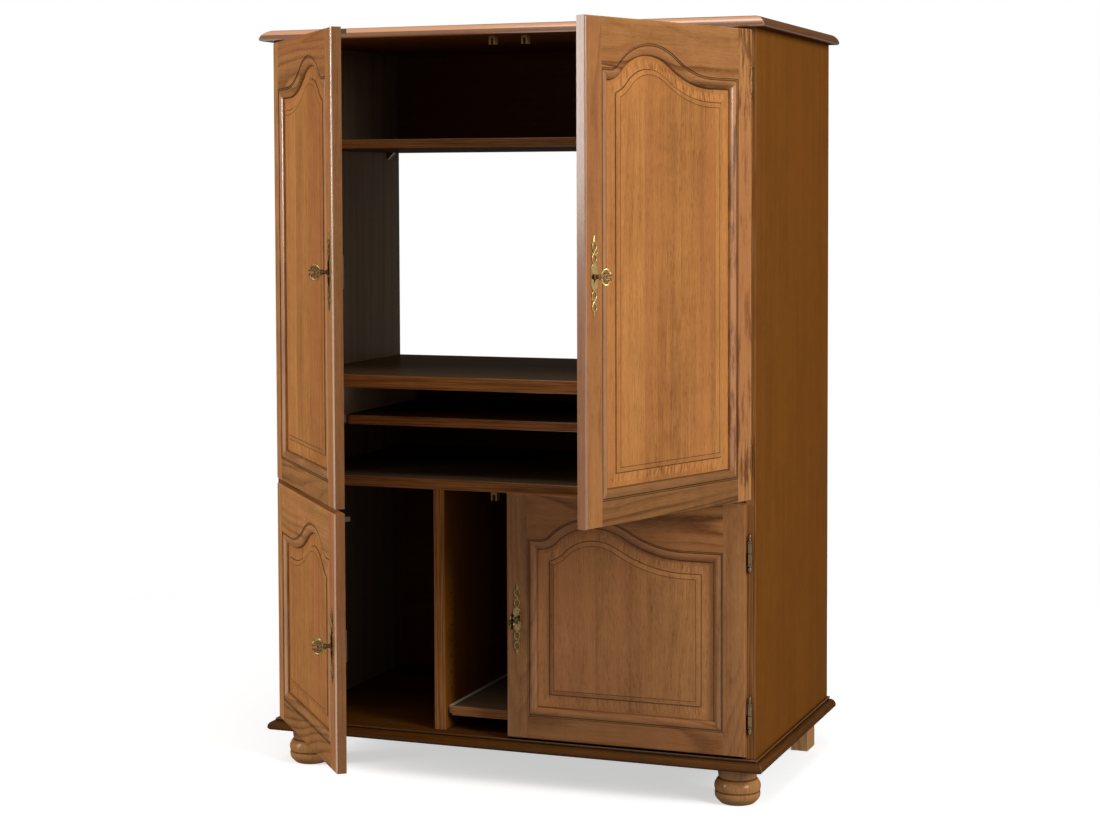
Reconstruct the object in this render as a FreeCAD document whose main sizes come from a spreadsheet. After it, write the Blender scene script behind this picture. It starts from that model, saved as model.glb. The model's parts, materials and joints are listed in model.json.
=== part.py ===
import FreeCAD, Part
import math
import os
import re
import Sketcher

# Rustic oak computer armoire: a moulded carcass with four panelled doors, a keyboard tray and a printer tray.
# Frame: millimetres, +Z up, front towards -Y, origin on the floor at the middle of the carcass back.
# The doors stand as in the photograph: three ajar, the lower right one shut.

SIZES = {
    # carcass
    "overall_height": 1500,
    "carcass_width": 1007.4,
    "carcass_depth": 570,
    "side_thickness": 18,
    "back_rebate": 8,
    "back_lap": 8,
    "back_thickness": 5,
    "fit_gap": 0.3,
    # crown and base edgings
    "edging_width": 45,
    "crown_height": 22,
    "crown_overhang": 22.7,
    "crown_front_overhang": 24.5,
    "crown_under_chamfer": 2,
    "crown_lip": 4,
    "crown_round": 23.4,
    "base_height": 23.3,
    "base_overhang": 19.4,
    "base_front_overhang": 22.5,
    "base_under_round": 6.5,
    "base_nose": 11.3,
    "base_groove": 2,
    "base_fillet_step": 1.5,
    # feet
    "foot_height": 73.7,
    "bun_inset_side": 47.3,
    "bun_inset_front": 45.7,
    "bun_radius": 45,
    "bun_base_radius": 33,
    "bun_collar_radius": 37,
    "bun_collar_height": 11,
    "bun_groove_level": 31.5,
    "bun_groove_width": 3,
    "bun_swell": 30,
    "rear_foot_width": 36,
    "rear_foot_depth": 58,
    "rear_foot_inset_side": 15.7,
    "rear_foot_inset_back": 45,
    # shelves
    "shelf_setback": 14,
    "top_shelf_drop": 239.5,
    "top_shelf_thickness": 18,
    "worktop_level": 779.2,
    "worktop_thickness": 26,
    "middle_shelf_level": 580.2,
    "middle_shelf_thickness": 20,
    "partition_offset": 164,
    "partition_thickness": 22,
    "back_overlap": 13,
    "support_leg": 16,
    "support_width": 12,
    "support_inset": 60,
    "peg_hole_radius": 2.5,
    "peg_hole_depth": 10,
    "peg_hole_pitch": 32,
    "peg_hole_start": 78,
    "peg_hole_setback": 35,
    # trays and their runners
    "tray_thickness": 18.7,
    "keyboard_tray_width": 748,
    "keyboard_tray_depth": 400,
    "keyboard_tray_level": 702.3,
    "keyboard_tray_setback": 40,
    "keyboard_tray_corner": 18,
    "printer_tray_depth": 430,
    "printer_tray_level": 125,
    "printer_tray_setback": 25,
    "runner_width": 10,
    "runner_height": 13,
    "runner_sheet": 1.5,
    "runner_flange": 16,
    "runner_length": 370,
    "runner_setback": 12,
    # doors
    "door_top_gap": 4,
    "door_bottom_gap": 5,
    "door_between_gap": 9,
    "door_shelf_lap": 3.8,
    "door_meeting_gap": 7,
    "upper_left_opening": 50,
    "upper_right_opening": 70,
    "lower_left_opening": 50,
    "lower_right_opening": 0,
    "door_thickness": 20,
    "door_front": 9,
    "door_edge_round": 3,
    "door_rebate": 5,
    "hinge_edge_gap": 7,
    "stile_flat": 43,
    "bottom_rail": 44,
    "peak_rail": 41,
    "sticking_width": 21,
    "sticking_depth": 6.5,
    "quirk_depth": 1.5,
    "quirk_width": 4,
    "groove_setback": 5.5,
    "groove_width": 6,
    "groove_depth": 8,
    # arch of the top rails
    "lock_shoulder": 26,
    "lock_sweep_share": 0.2953,
    "lock_rise": 46.5,
    "lock_bend": 0.17,
    "hinge_sweep_share": 0.502,
    "hinge_rise": 53,
    "hinge_bend": 0.6,
    # raised panels
    "panel_play": 0.5,
    "panel_slack": 0.1,
    "border_start": 29,
    "border_end": 44,
    "border_rise": 2,
    "step_inset": 46,
    "step_rise": 1.5,
    "field_inset": 54,
    "field_rise": 2.5,
    # barrel hinges
    "hinge_axis_inset": 8.7,
    "hinge_axis_front": 6,
    "hinge_top_inset": 94,
    "hinge_bottom_inset": 79,
    "barrel_radius": 5,
    "barrel_half": 23,
    "barrel_gap": 0.3,
    "finial_length": 15,
    "finial_bulb": 4.4,
    "finial_neck": 2.6,
    "finial_tip": 1,
    "pin_radius": 3,
    "pin_length": 18,
    "running_gap": 0.05,
    "leaf_thickness": 2,
    "leaf_depth": 12,
    "leaf_margin": 2,
    # escutcheons, locks and keys
    "key_drop": 6,
    "key_backset": 22,
    "plate_thickness": 1.5,
    "plate_width": 18,
    "plate_height": 48,
    "plate_corner": 6,
    "ring_radius": 7.5,
    "ring_hole": 4.6,
    "ring_spacing": 24,
    "scroll_width": 2.6,
    "tip_width": 8,
    "tip_height": 14,
    "keyhole_radius": 3.6,
    "keyhole_slot": 3,
    "keyhole_drop": 9,
    "key_radius": 3,
    "key_reach": 20,
    "bow_radius": 12.5,
    "bow_height": 36,
    "bow_thickness": 4.5,
    "bow_hole": 6.2,
    "bow_hole_offset": 8.6,
    "bit_length": 8,
    "bit_thickness": 2.4,
    "key_bore": 4.5,
    "case_width": 38,
    "case_height": 60,
    "case_depth": 15,
    "case_setback": 10,
    "bit_room_radius": 10,
    "bit_room_depth": 3,
    "bolt_length": 34,
    "bolt_height": 11.6,
    "bolt_thickness": 3,
    "bolt_offset": 12,
    "bolt_setback": 4,
    "bolt_play": 0.2,
    # catches
    "catch_offset": 34,
    "catch_width": 13,
    "catch_gap": 6,
    "catch_height": 17,
    "catch_depth": 16,
    "catch_bridge": 5,
    "strike_width": 18,
    "strike_height": 12,
    "strike_drop": 10.5,
    "tongue_width": 4,
    "tongue_height": 9,
    "tongue_length": 16,
}

doc = FreeCAD.newDocument("computer_armoire")
sheet = doc.addObject("Spreadsheet::Sheet", "sizes")
for row, (alias, number) in enumerate(SIZES.items(), 1):
    sheet.set(f"A{row}", alias)
    sheet.set(f"B{row}", str(number))
    sheet.setAlias(f"B{row}", alias)
doc.recompute()

# Places that several pieces share, written in the sheet's own names.
HALF = "(carcass_width / 2)"
INNER = "(carcass_width / 2 - side_thickness)"
BASE_TOP = "(foot_height + base_height)"
CROWN_LOW = "(overall_height - crown_height)"
SHELF_FRONT = "(shelf_setback - carcass_depth)"
HINGE_X = "(carcass_width / 2 - hinge_axis_inset)"
HINGE_Y = "(-carcass_depth - hinge_axis_front)"
DOOR_BACK = "(door_front - door_thickness)"
FREE_EDGE = "(carcass_width / 2 - hinge_axis_inset - door_meeting_gap / 2)"
KEY_U = f"({FREE_EDGE} - key_backset)"
CASE_EDGE = f"({FREE_EDGE} - case_setback)"
BOLT_BACK = f"({DOOR_BACK} - bolt_play - bolt_thickness)"
CASE_BACK = f"({BOLT_BACK} - bolt_play - runner_sheet)"
LOCK_SEAT = f"({CASE_BACK} + case_depth)"
ARCH_WIDTH = f"({FREE_EDGE} - hinge_edge_gap - 2 * stile_flat - lock_shoulder)"
LOCK_SWEEP = f"(lock_sweep_share * {ARCH_WIDTH})"
HINGE_SWEEP = f"(hinge_sweep_share * {ARCH_WIDTH})"
TOP_SHELF = "(overall_height - top_shelf_drop)"
LOW_EDGE = {
    "upper": "(middle_shelf_level + door_shelf_lap + door_between_gap)",
    "lower": "(foot_height + base_height + door_bottom_gap)",
}
HIGH_EDGE = {
    "upper": "(overall_height - crown_height - door_top_gap)",
    "lower": "(middle_shelf_level + door_shelf_lap)",
}
KEY_LEVEL = {level: f"(({LOW_EDGE[level]} + {HIGH_EDGE[level]}) / 2 - key_drop)" for level in LOW_EDGE}

DOORS = {
    "upper_left": {"hand": 1, "level": "upper"},
    "upper_right": {"hand": -1, "level": "upper"},
    "lower_left": {"hand": 1, "level": "lower"},
    "lower_right": {"hand": -1, "level": "lower"},
}
SIDES = {"left": -1, "right": 1}
CORNERS = ((-1, -1), (1, -1), (1, 1), (-1, 1))
CEILINGS = {"upper": CROWN_LOW, "lower": "middle_shelf_level"}
PEG_HOLES = 8
HINGE_SIDES = 12

pieces = {}


# Names of two or more words are cells of the sheet.
def linked(text):
    return re.sub(r"[a-z]+(_[a-z]+)+", lambda found: "sizes." + found.group(), text)


def value(text):
    return float(sheet.evalExpression(linked(text)))


def bind(thing, path, text):
    thing.setExpression(path, linked(text))


def keep(label, thing):
    thing.Label = label
    pieces[label] = thing
    return thing


def new_body(name):
    return doc.addObject("PartDesign::Body", name)


# A sketch on one of the body's own planes, moved along the plane's normal.
# XZ sketches look from the front, so their normal points to -Y.
def new_sketch(body, plane, offset="0"):
    sketch = body.newObject("Sketcher::SketchObject", "sketch")
    support = next(feature for feature in body.Origin.OriginFeatures if feature.Role == plane)
    sketch.AttachmentSupport = (support, [""])
    sketch.MapMode = "FlatFace"
    bind(sketch, "AttachmentOffset.Base.z", offset)
    return sketch


def fix(sketch, kind, where, text):
    number = sketch.addConstraint(Sketcher.Constraint(kind, *where, value(text)))
    bind(sketch, f"Constraints[{number}]", text)


# A closed outline. Each corner is (x, y), or (x, y, turn, radius) where an arc leaves it to left or right.
def add_outline(sketch, corners):
    points = [FreeCAD.Vector(value(corner[0]), value(corner[1]), 0) for corner in corners]
    first = sketch.GeometryCount
    ends = []
    for index, corner in enumerate(corners):
        start = points[index]
        stop = points[(index + 1) % len(points)]
        if len(corner) == 2:
            sketch.addGeometry(Part.LineSegment(start, stop), False)
            ends.append((1, 2))
            continue
        radius = value(corner[3])
        chord = stop - start
        sagitta = radius - (radius ** 2 - (chord.Length / 2) ** 2) ** 0.5
        right = FreeCAD.Vector(chord.y, -chord.x, 0).normalize()
        side = 1 if corner[2] == "left" else -1
        middle = start + chord * 0.5 + right * (side * sagitta)
        if side > 0:
            sketch.addGeometry(Part.Arc(start, middle, stop), False)
            ends.append((1, 2))
        else:
            sketch.addGeometry(Part.Arc(stop, middle, start), False)
            ends.append((2, 1))
    for index, corner in enumerate(corners):
        following = (index + 1) % len(corners)
        edge = first + index
        joined = (edge, ends[index][1], first + following, ends[following][0])
        sketch.addConstraint(Sketcher.Constraint("Coincident", *joined))
        fix(sketch, "DistanceX", (-1, 1, edge, ends[index][0]), corner[0])
        fix(sketch, "DistanceY", (-1, 1, edge, ends[index][0]), corner[1])
        if len(corner) == 4:
            fix(sketch, "Radius", (edge,), corner[3])


def add_circle(sketch, x, y, radius):
    centre = FreeCAD.Vector(value(x), value(y), 0)
    edge = sketch.addGeometry(Part.Circle(centre, FreeCAD.Vector(0, 0, 1), value(radius)), False)
    fix(sketch, "DistanceX", (-1, 1, edge, 3), x)
    fix(sketch, "DistanceY", (-1, 1, edge, 3), y)
    fix(sketch, "Radius", (edge,), radius)


def rectangle(low_x, low_y, high_x, high_y):
    return [(low_x, low_y), (high_x, low_y), (high_x, high_y), (low_x, high_y)]


# A small round drawn with flat sides, which keeps the facets few.
def polygon(x, y, radius, sides=8):
    turns = [2 * math.pi * (step + 0.5) / sides for step in range(sides)]
    return [(f"{x} + {radius} * {math.cos(turn):.4f}",
             f"{y} + {radius} * {math.sin(turn):.4f}") for turn in turns]


def extrude(body, kind, sketch, length, backwards=False):
    feature = body.newObject("PartDesign::" + kind, kind.lower())
    feature.Profile = sketch
    feature.Reversed = backwards
    bind(feature, "Length", length)
    return feature


def revolve(body, sketch):
    feature = body.newObject("PartDesign::Revolution", "revolution")
    feature.Profile = sketch
    feature.ReferenceAxis = (sketch, ["V_Axis"])
    feature.Angle = 360
    return feature


def loft(body, kind, lower, upper):
    feature = body.newObject("PartDesign::" + kind, kind.lower())
    feature.Profile = lower
    feature.Sections = [upper]
    feature.Ruled = True
    return feature


# A flat board between two corners.
def board(name, low, high):
    box = doc.addObject("Part::Box", name)
    for side, axis, start, stop in zip(("Length", "Width", "Height"), "xyz", low, high):
        bind(box, side, f"({stop}) - ({start})")
        bind(box, f"Placement.Base.{axis}", start)
    return box


def combine(kind, base, tool):
    result = doc.addObject("Part::" + kind, kind.lower())
    result.Base = base
    result.Tool = tool
    return result


def group(things):
    result = doc.addObject("Part::Compound", "group")
    result.Links = things
    return result


# One more of a piece, at a place of its own.
def placed(thing, x, y, z):
    result = group([thing])
    for axis, text in zip("xyz", (x, y, z)):
        bind(result, f"Placement.Base.{axis}", text)
    return result


# Carcass

def hinge_levels(level):
    return [f"({LOW_EDGE[level]} + hinge_bottom_inset)", f"({HIGH_EDGE[level]} - hinge_top_inset)"]


# Outline of a hinge leaf in section, or of its mortise when grown by the running gap.
def leaf_outline(middle, height, upper, grown="0"):
    low, high = f"{height} + leaf_margin", f"{height} + barrel_half - leaf_margin"
    if not upper:
        low, high = f"{height} - barrel_half + leaf_margin", f"{height} - leaf_margin"
    return rectangle(f"{middle} - leaf_thickness / 2 - {grown}", f"{low} - {grown}",
                     f"{middle} + leaf_thickness / 2 + {grown}", f"{high} + {grown}")


def side_panel(label, side):
    body = new_body(label)
    plan = new_sketch(body, "XY_Plane", BASE_TOP)
    rebated = f"{side} * ({INNER} + back_lap)"
    add_outline(plan, [
        (f"{side} * {INNER}", "-carcass_depth"),
        (f"{side} * {HALF}", "-carcass_depth"),
        (f"{side} * {HALF}", "0"),
        (rebated, "0"),
        (rebated, "-back_rebate"),
        (f"{side} * {INNER}", "-back_rebate"),
    ])
    extrude(body, "Pad", plan, f"{CROWN_LOW} - {BASE_TOP}")
    mortises = new_sketch(body, "XZ_Plane", "carcass_depth")
    for level in LOW_EDGE:
        for height in hinge_levels(level):
            add_outline(mortises, leaf_outline(f"{side} * {HINGE_X}", height, False, "running_gap"))
    extrude(body, "Pocket", mortises, "leaf_depth")
    keep(label, body)


# Section of an edging, from the inner underside round the outer edge. The outward way is given by its sign.
def crown_section(lip, outward):
    turn = "right" if outward < 0 else "left"
    depths = ("edging_width", "crown_under_chamfer", "crown_round")
    inset = [f"{lip} - {outward} * {depth}" for depth in depths]
    round_low = f"{CROWN_LOW} + crown_under_chamfer + crown_lip"
    drop = f"(overall_height - ({round_low}))"
    radius = f"(crown_round ^ 2 + {drop} ^ 2) / (2 * {drop})"
    return [
        (inset[0], CROWN_LOW),
        (inset[1], CROWN_LOW),
        (lip, f"{CROWN_LOW} + crown_under_chamfer"),
        (lip, round_low, turn, radius),
        (inset[2], "overall_height"),
        (inset[0], "overall_height"),
    ]


def base_section(lip, outward):
    turn = "right" if outward < 0 else "left"
    nose_top = "foot_height + base_under_round + base_nose"
    groove = f"{lip} - {outward} * (base_nose + 2 * base_fillet_step)"
    fillet = f"{lip} - {outward} * (base_nose + base_fillet_step)"
    inner = f"{lip} - {outward} * edging_width"
    return [
        (inner, "foot_height"),
        (f"{lip} - {outward} * base_under_round", "foot_height", turn, "base_under_round"),
        (lip, "foot_height + base_under_round", turn, "base_nose"),
        (f"{lip} - {outward} * base_nose", nose_top),
        (groove, nose_top),
        (groove, f"{nose_top} + base_groove"),
        (fillet, f"{nose_top} + base_groove"),
        (fillet, BASE_TOP),
        (inner, BASE_TOP),
    ]


# Front and side edgings, mitred at the front corners.
def edgings(name, section, low, height, overhang, front_overhang):
    reach = f"({HALF} + {overhang})"
    front = f"(-carcass_depth - {front_overhang})"
    inner_x = f"({reach} - edging_width)"
    inner_y = f"({front} + edging_width)"
    spare = "edging_width"

    bar = new_body(name + "_front_bar")
    profile = new_sketch(bar, "YZ_Plane", f"-{reach}")
    add_outline(profile, section(front, -1))
    extrude(bar, "Pad", profile, f"2 * {reach}")
    mitre = new_body(name + "_front_mitre")
    plan = new_sketch(mitre, "XY_Plane", f"{low} - {spare}")
    add_outline(plan, [
        (f"-{reach} - {spare}", f"{front} - {spare}"),
        (f"{reach} + {spare}", f"{front} - {spare}"),
        (inner_x, inner_y),
        (f"-{inner_x}", inner_y),
    ])
    extrude(mitre, "Pad", plan, f"{height} + 2 * {spare}")
    keep(name + "_front_edging", combine("Common", bar, mitre))

    both = []
    for side in SIDES.values():
        bar = new_body(name + "_side_bar")
        profile = new_sketch(bar, "XZ_Plane")
        add_outline(profile, section(f"{side} * {reach}", side))
        extrude(bar, "Pad", profile, f"-{front}")
        mitre = new_body(name + "_side_mitre")
        plan = new_sketch(mitre, "XY_Plane", f"{low} - {spare}")
        add_outline(plan, [
            (f"{side} * ({reach} + {spare})", f"{front} - {spare}"),
            (f"{side} * ({reach} + {spare})", "0"),
            (f"{side} * {inner_x}", "0"),
            (f"{side} * {inner_x}", inner_y),
        ])
        extrude(mitre, "Pad", plan, f"{height} + 2 * {spare}")
        both.append(combine("Common", bar, mitre))
    keep(name + "_side_edgings", group(both))
    core = board(name + "_core", (f"-{inner_x}", inner_y, low), (inner_x, "0", f"{low} + {height}"))
    keep(name + "_board", core)


def bun_foot(side):
    body = new_body("bun_foot")
    profile = new_sketch(body, "XZ_Plane")
    swell_top = "bun_groove_level + bun_groove_width"
    waist = "foot_height - bun_collar_height - bun_groove_width"
    add_outline(profile, [
        ("0", "0"),
        ("bun_base_radius", "0", "left", "bun_swell"),
        ("bun_radius", "bun_groove_level"),
        ("bun_radius - bun_groove_width / 2", "bun_groove_level + bun_groove_width / 2"),
        ("bun_radius", swell_top, "left", "bun_swell"),
        ("bun_collar_radius - bun_groove_width / 2", waist),
        ("bun_collar_radius - bun_groove_width", f"{waist} + bun_groove_width / 2"),
        ("bun_collar_radius", "foot_height - bun_collar_height"),
        ("bun_collar_radius", "foot_height"),
        ("0", "foot_height"),
    ])
    revolve(body, profile)
    bind(body, "Placement.Base.x", f"{side} * ({HALF} - bun_inset_side)")
    bind(body, "Placement.Base.y", "-carcass_depth + bun_inset_front")
    return body


def rear_foot(side):
    outer = f"({HALF} - rear_foot_inset_side)"
    inner = f"({outer} - rear_foot_width)"
    low_x, high_x = (inner, outer) if side > 0 else (f"-{outer}", f"-{inner}")
    back = "-rear_foot_inset_back"
    return board("rear_foot", (low_x, f"{back} - rear_foot_depth", "0"), (high_x, back, "foot_height"))


def shelf(label, level, thickness):
    low = (f"-{INNER}", SHELF_FRONT, level)
    keep(label, board(label, low, (INNER, "-back_rebate", f"{level} + {thickness}")))


def back_panel(label, low, high):
    reach = f"({INNER} + back_lap - fit_gap)"
    face = "back_thickness - back_rebate"
    keep(label, board(label, (f"-{reach}", "-back_rebate", low), (reach, face, high)))


def centre_partition():
    body = new_body("centre_partition")
    plan = new_sketch(body, "XY_Plane", BASE_TOP)
    right = "(partition_thickness - partition_offset)"
    add_outline(plan, rectangle("-partition_offset", SHELF_FRONT, right, "-back_rebate"))
    extrude(body, "Pad", plan, f"middle_shelf_level - {BASE_TOP}")
    hole = new_sketch(body, "YZ_Plane", right)
    across, height = f"{SHELF_FRONT} + peg_hole_setback", f"{BASE_TOP} + peg_hole_start"
    add_outline(hole, polygon(across, height, "peg_hole_radius"))
    pocket = extrude(body, "Pocket", hole, "peg_hole_depth")
    doc.recompute()
    pattern = body.newObject("PartDesign::LinearPattern", "peg_holes")
    pattern.Originals = [pocket]
    pattern.Direction = (hole, ["V_Axis"])
    pattern.Occurrences = PEG_HOLES
    bind(pattern, "Length", f"peg_hole_pitch * {PEG_HOLES - 1}")
    body.Tip = pattern
    keep("centre_partition", body)


# Small triangular brackets that carry the top shelf.
def shelf_supports():
    brackets = []
    for side in SIDES.values():
        for setback in ("support_inset", "carcass_depth - shelf_setback - support_inset"):
            body = new_body("shelf_support")
            profile = new_sketch(body, "XZ_Plane", setback)
            add_outline(profile, [
                (f"{side} * {INNER}", TOP_SHELF),
                (f"{side} * ({INNER} - support_leg)", TOP_SHELF),
                (f"{side} * {INNER}", f"{TOP_SHELF} - support_leg"),
            ])
            extrude(body, "Pad", profile, "support_width")
            brackets.append(body)
    keep("shelf_supports", group(brackets))


# Forked catches that hold the tongues on the door backs.
def door_catches():
    forks = []
    for ceiling in CEILINGS.values():
        for side in SIDES.values():
            body = new_body("door_catch")
            profile = new_sketch(body, "XZ_Plane", "carcass_depth - shelf_setback - catch_depth")
            centre = f"{side} * catch_offset"
            low = f"{ceiling} - catch_height"
            slot_top = f"{ceiling} - catch_bridge"
            add_outline(profile, [
                (f"{centre} - catch_width / 2", low),
                (f"{centre} - catch_gap / 2", low),
                (f"{centre} - catch_gap / 2", slot_top),
                (f"{centre} + catch_gap / 2", slot_top),
                (f"{centre} + catch_gap / 2", low),
                (f"{centre} + catch_width / 2", low),
                (f"{centre} + catch_width / 2", ceiling),
                (f"{centre} - catch_width / 2", ceiling),
            ])
            extrude(body, "Pad", profile, "catch_depth")
            forks.append(body)
    keep("door_catches", group(forks))


# Trays

def tray_middle(tray):
    return f"({tray}_tray_level + tray_thickness / 2)"


def tray_front(tray):
    return f"({tray}_tray_setback - carcass_depth)"


# Bar that runs in a channel. Its outer face is one fit gap from the channel's wall.
def tray_runner(tray, wall, inward):
    middle = tray_middle(tray)
    outer = f"{wall} + {inward} * (runner_sheet + fit_gap)"
    inner = f"{wall} + {inward} * runner_width"
    body = new_body(tray + "_runner")
    profile = new_sketch(body, "XZ_Plane", f"-{tray_front(tray)} - runner_setback - runner_length")
    add_outline(profile, rectangle(outer, f"{middle} - runner_height / 2",
                                   inner, f"{middle} + runner_height / 2"))
    extrude(body, "Pad", profile, "runner_length")
    return body


# Channel fixed to the carcass. With a hanger, its wall rises to the worktop and turns in as a flange.
def cabinet_runner(tray, wall, inward, hanger):
    middle = tray_middle(tray)
    low = f"({middle} - runner_height / 2 - fit_gap)"
    high = f"({middle} + runner_height / 2 + fit_gap)"
    web = f"{wall} + {inward} * runner_sheet"
    lip = f"{wall} + {inward} * (runner_width - runner_sheet)"
    if hanger:
        flange = f"{wall} + {inward} * runner_flange"
        top = [
            (web, f"{high} + runner_sheet"),
            (web, "worktop_level - runner_sheet"),
            (flange, "worktop_level - runner_sheet"),
            (flange, "worktop_level"),
            (wall, "worktop_level"),
        ]
    else:
        top = [(wall, f"{high} + runner_sheet")]
    body = new_body(tray + "_channel")
    profile = new_sketch(body, "XZ_Plane", f"-{tray_front(tray)} - runner_setback - runner_length")
    add_outline(profile, [
        (wall, f"{low} - runner_sheet"),
        (lip, f"{low} - runner_sheet"),
        (lip, low),
        (web, low),
        (web, high),
        (lip, high),
        (lip, f"{high} + runner_sheet"),
    ] + top)
    extrude(body, "Pad", profile, "runner_length")
    return body


def trays():
    keyboard_wall = "(keyboard_tray_width / 2 + runner_width)"
    walls = {
        "keyboard": [(f"-{keyboard_wall}", 1), (keyboard_wall, -1)],
        "printer": [("(partition_thickness - partition_offset)", 1), (INNER, -1)],
    }
    fixed = []
    for tray, sides in walls.items():
        hanger = tray == "keyboard"
        fixed += [cabinet_runner(tray, wall, inward, hanger) for wall, inward in sides]
        sliding = [tray_runner(tray, wall, inward) for wall, inward in sides]
        keep(tray + "_tray_runners", group(sliding))
        left, right = [f"({wall} + {inward} * runner_width)" for wall, inward in sides]
        front = tray_front(tray)
        body = new_body(tray + "_tray")
        plan = new_sketch(body, "XY_Plane", f"{tray}_tray_level")
        corner = "keyboard_tray_corner" if hanger else "runner_sheet"
        add_outline(plan, [
            (f"{left} + {corner}", front),
            (f"{right} - {corner}", front, "left", corner),
            (right, f"{front} + {corner}"),
            (right, f"{front} + {tray}_tray_depth"),
            (left, f"{front} + {tray}_tray_depth"),
            (left, f"{front} + {corner}", "left", corner),
        ])
        extrude(body, "Pad", plan, "tray_thickness")
        keep(tray + "_tray", body)
    keep("cabinet_runners", group(fixed))


# Doors are drawn about their hinge axis: u runs from the axis along the door, and Z is the height.

def along(door, text):
    return f"{door['hand']} * ({text})"


def hang(door_name, thing):
    door = DOORS[door_name]
    bind(thing, "Placement.Base.x", along(door, f"-{HINGE_X}"))
    bind(thing, "Placement.Base.y", HINGE_Y)
    bind(thing, "Placement.Rotation.Angle", along(door, f"-{door_name}_opening"))


# Outline of a door's panel opening, drawn inside its outer moulding line by the inset.
def arch_outline(door, inset):
    level = door["level"]
    left, right = ("left", "right") if door["hand"] > 0 else ("right", "left")
    lock_whole = f"(({LOCK_SWEEP} ^ 2 + lock_rise ^ 2) / (2 * lock_rise))"
    hinge_whole = f"(({HINGE_SWEEP} ^ 2 + hinge_rise ^ 2) / (2 * hinge_rise))"
    lock_hollow = f"(lock_bend * {lock_whole} + {inset})"
    lock_crest = f"((1 - lock_bend) * {lock_whole} - {inset})"
    hinge_hollow = f"(hinge_bend * {hinge_whole} + {inset})"
    hinge_crest = f"((1 - hinge_bend) * {hinge_whole} - {inset})"
    hinge_line = f"hinge_edge_gap + stile_flat + {inset}"
    lock_line = f"{FREE_EDGE} - stile_flat - {inset}"
    lock_end = f"({FREE_EDGE} - stile_flat - lock_shoulder)"
    peak = f"({lock_end} - {LOCK_SWEEP})"
    hinge_end = f"({peak} - {HINGE_SWEEP})"
    bottom = f"{LOW_EDGE[level]} + bottom_rail + {inset}"
    top = f"({HIGH_EDGE[level]} - peak_rail - {inset})"
    lock_top = f"({top} - lock_rise)"
    hinge_top = f"({top} - hinge_rise)"
    if value(f"lock_shoulder - {inset}") > 0:
        lock_corner = [(lock_line, lock_top), (lock_end, lock_top, right, lock_hollow)]
    else:
        past = f"({inset} - lock_shoulder)"
        lift = f"{lock_top} + {lock_hollow} - sqrt({lock_hollow} ^ 2 - {past} ^ 2)"
        lock_corner = [(lock_line, lift, right, lock_hollow)]
    lock_share = f"{lock_hollow} / {lock_whole}"
    hinge_share = f"{hinge_hollow} / {hinge_whole}"
    lock_turn = (f"{lock_end} - {lock_share} * {LOCK_SWEEP}", f"{lock_top} + {lock_share} * lock_rise")
    hinge_turn = (f"{hinge_end} + {hinge_share} * {HINGE_SWEEP}", f"{hinge_top} + {hinge_share} * hinge_rise")
    corners = [
        (hinge_line, bottom),
        (lock_line, bottom),
        *lock_corner,
        (*lock_turn, left, lock_crest),
        (peak, top, left, hinge_crest),
        (*hinge_turn, right, hinge_hollow),
        (hinge_end, hinge_top),
        (hinge_line, hinge_top),
    ]
    return [(along(door, corner[0]), *corner[1:]) for corner in corners]


def door_rectangle(door, hinge_edge):
    level = door["level"]
    low, high = f"{LOW_EDGE[level]}", f"{HIGH_EDGE[level]}"
    return rectangle(along(door, hinge_edge), low, along(door, FREE_EDGE), high)


# Rounds the front edges of the door. The edges are found where the outer walls meet the front face.
def round_front_edges(body, door):
    doc.recompute()
    last = body.Tip
    front = -value("door_front")
    outline = [sorted((value(along(door, "hinge_edge_gap")), value(along(door, FREE_EDGE)))),
               [value(f"{LOW_EDGE[door['level']]}"), value(f"{HIGH_EDGE[door['level']]}")]]
    chosen = []
    for number, edge in enumerate(last.Shape.Edges, 1):
        box = edge.BoundBox
        if abs(box.YMin - front) > 1e-4 or abs(box.YMax - front) > 1e-4:
            continue
        spans = [(box.XMin, box.XMax), (box.ZMin, box.ZMax)]
        if any(abs(low - limit) + abs(high - limit) < 1e-4
               for (low, high), limits in zip(spans, outline) for limit in limits):
            chosen.append(f"Edge{number}")
    rounding = body.newObject("PartDesign::Fillet", "front_edges")
    rounding.Base = (last, chosen)
    bind(rounding, "Radius", "door_edge_round")


# Housing for the lock in the back of a door.
def lock_housing(body, door):
    key_level = KEY_LEVEL[door["level"]]
    housing = new_sketch(body, "XZ_Plane", LOCK_SEAT)
    half = "(case_height / 2 + bolt_play)"
    inner = f"{CASE_EDGE} - case_width - bolt_play"
    add_outline(housing, rectangle(along(door, inner), f"{key_level} - {half}",
                                   along(door, f"{CASE_EDGE} + bolt_play"), f"{key_level} + {half}"))
    extrude(body, "Pocket", housing, "case_depth")


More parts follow.
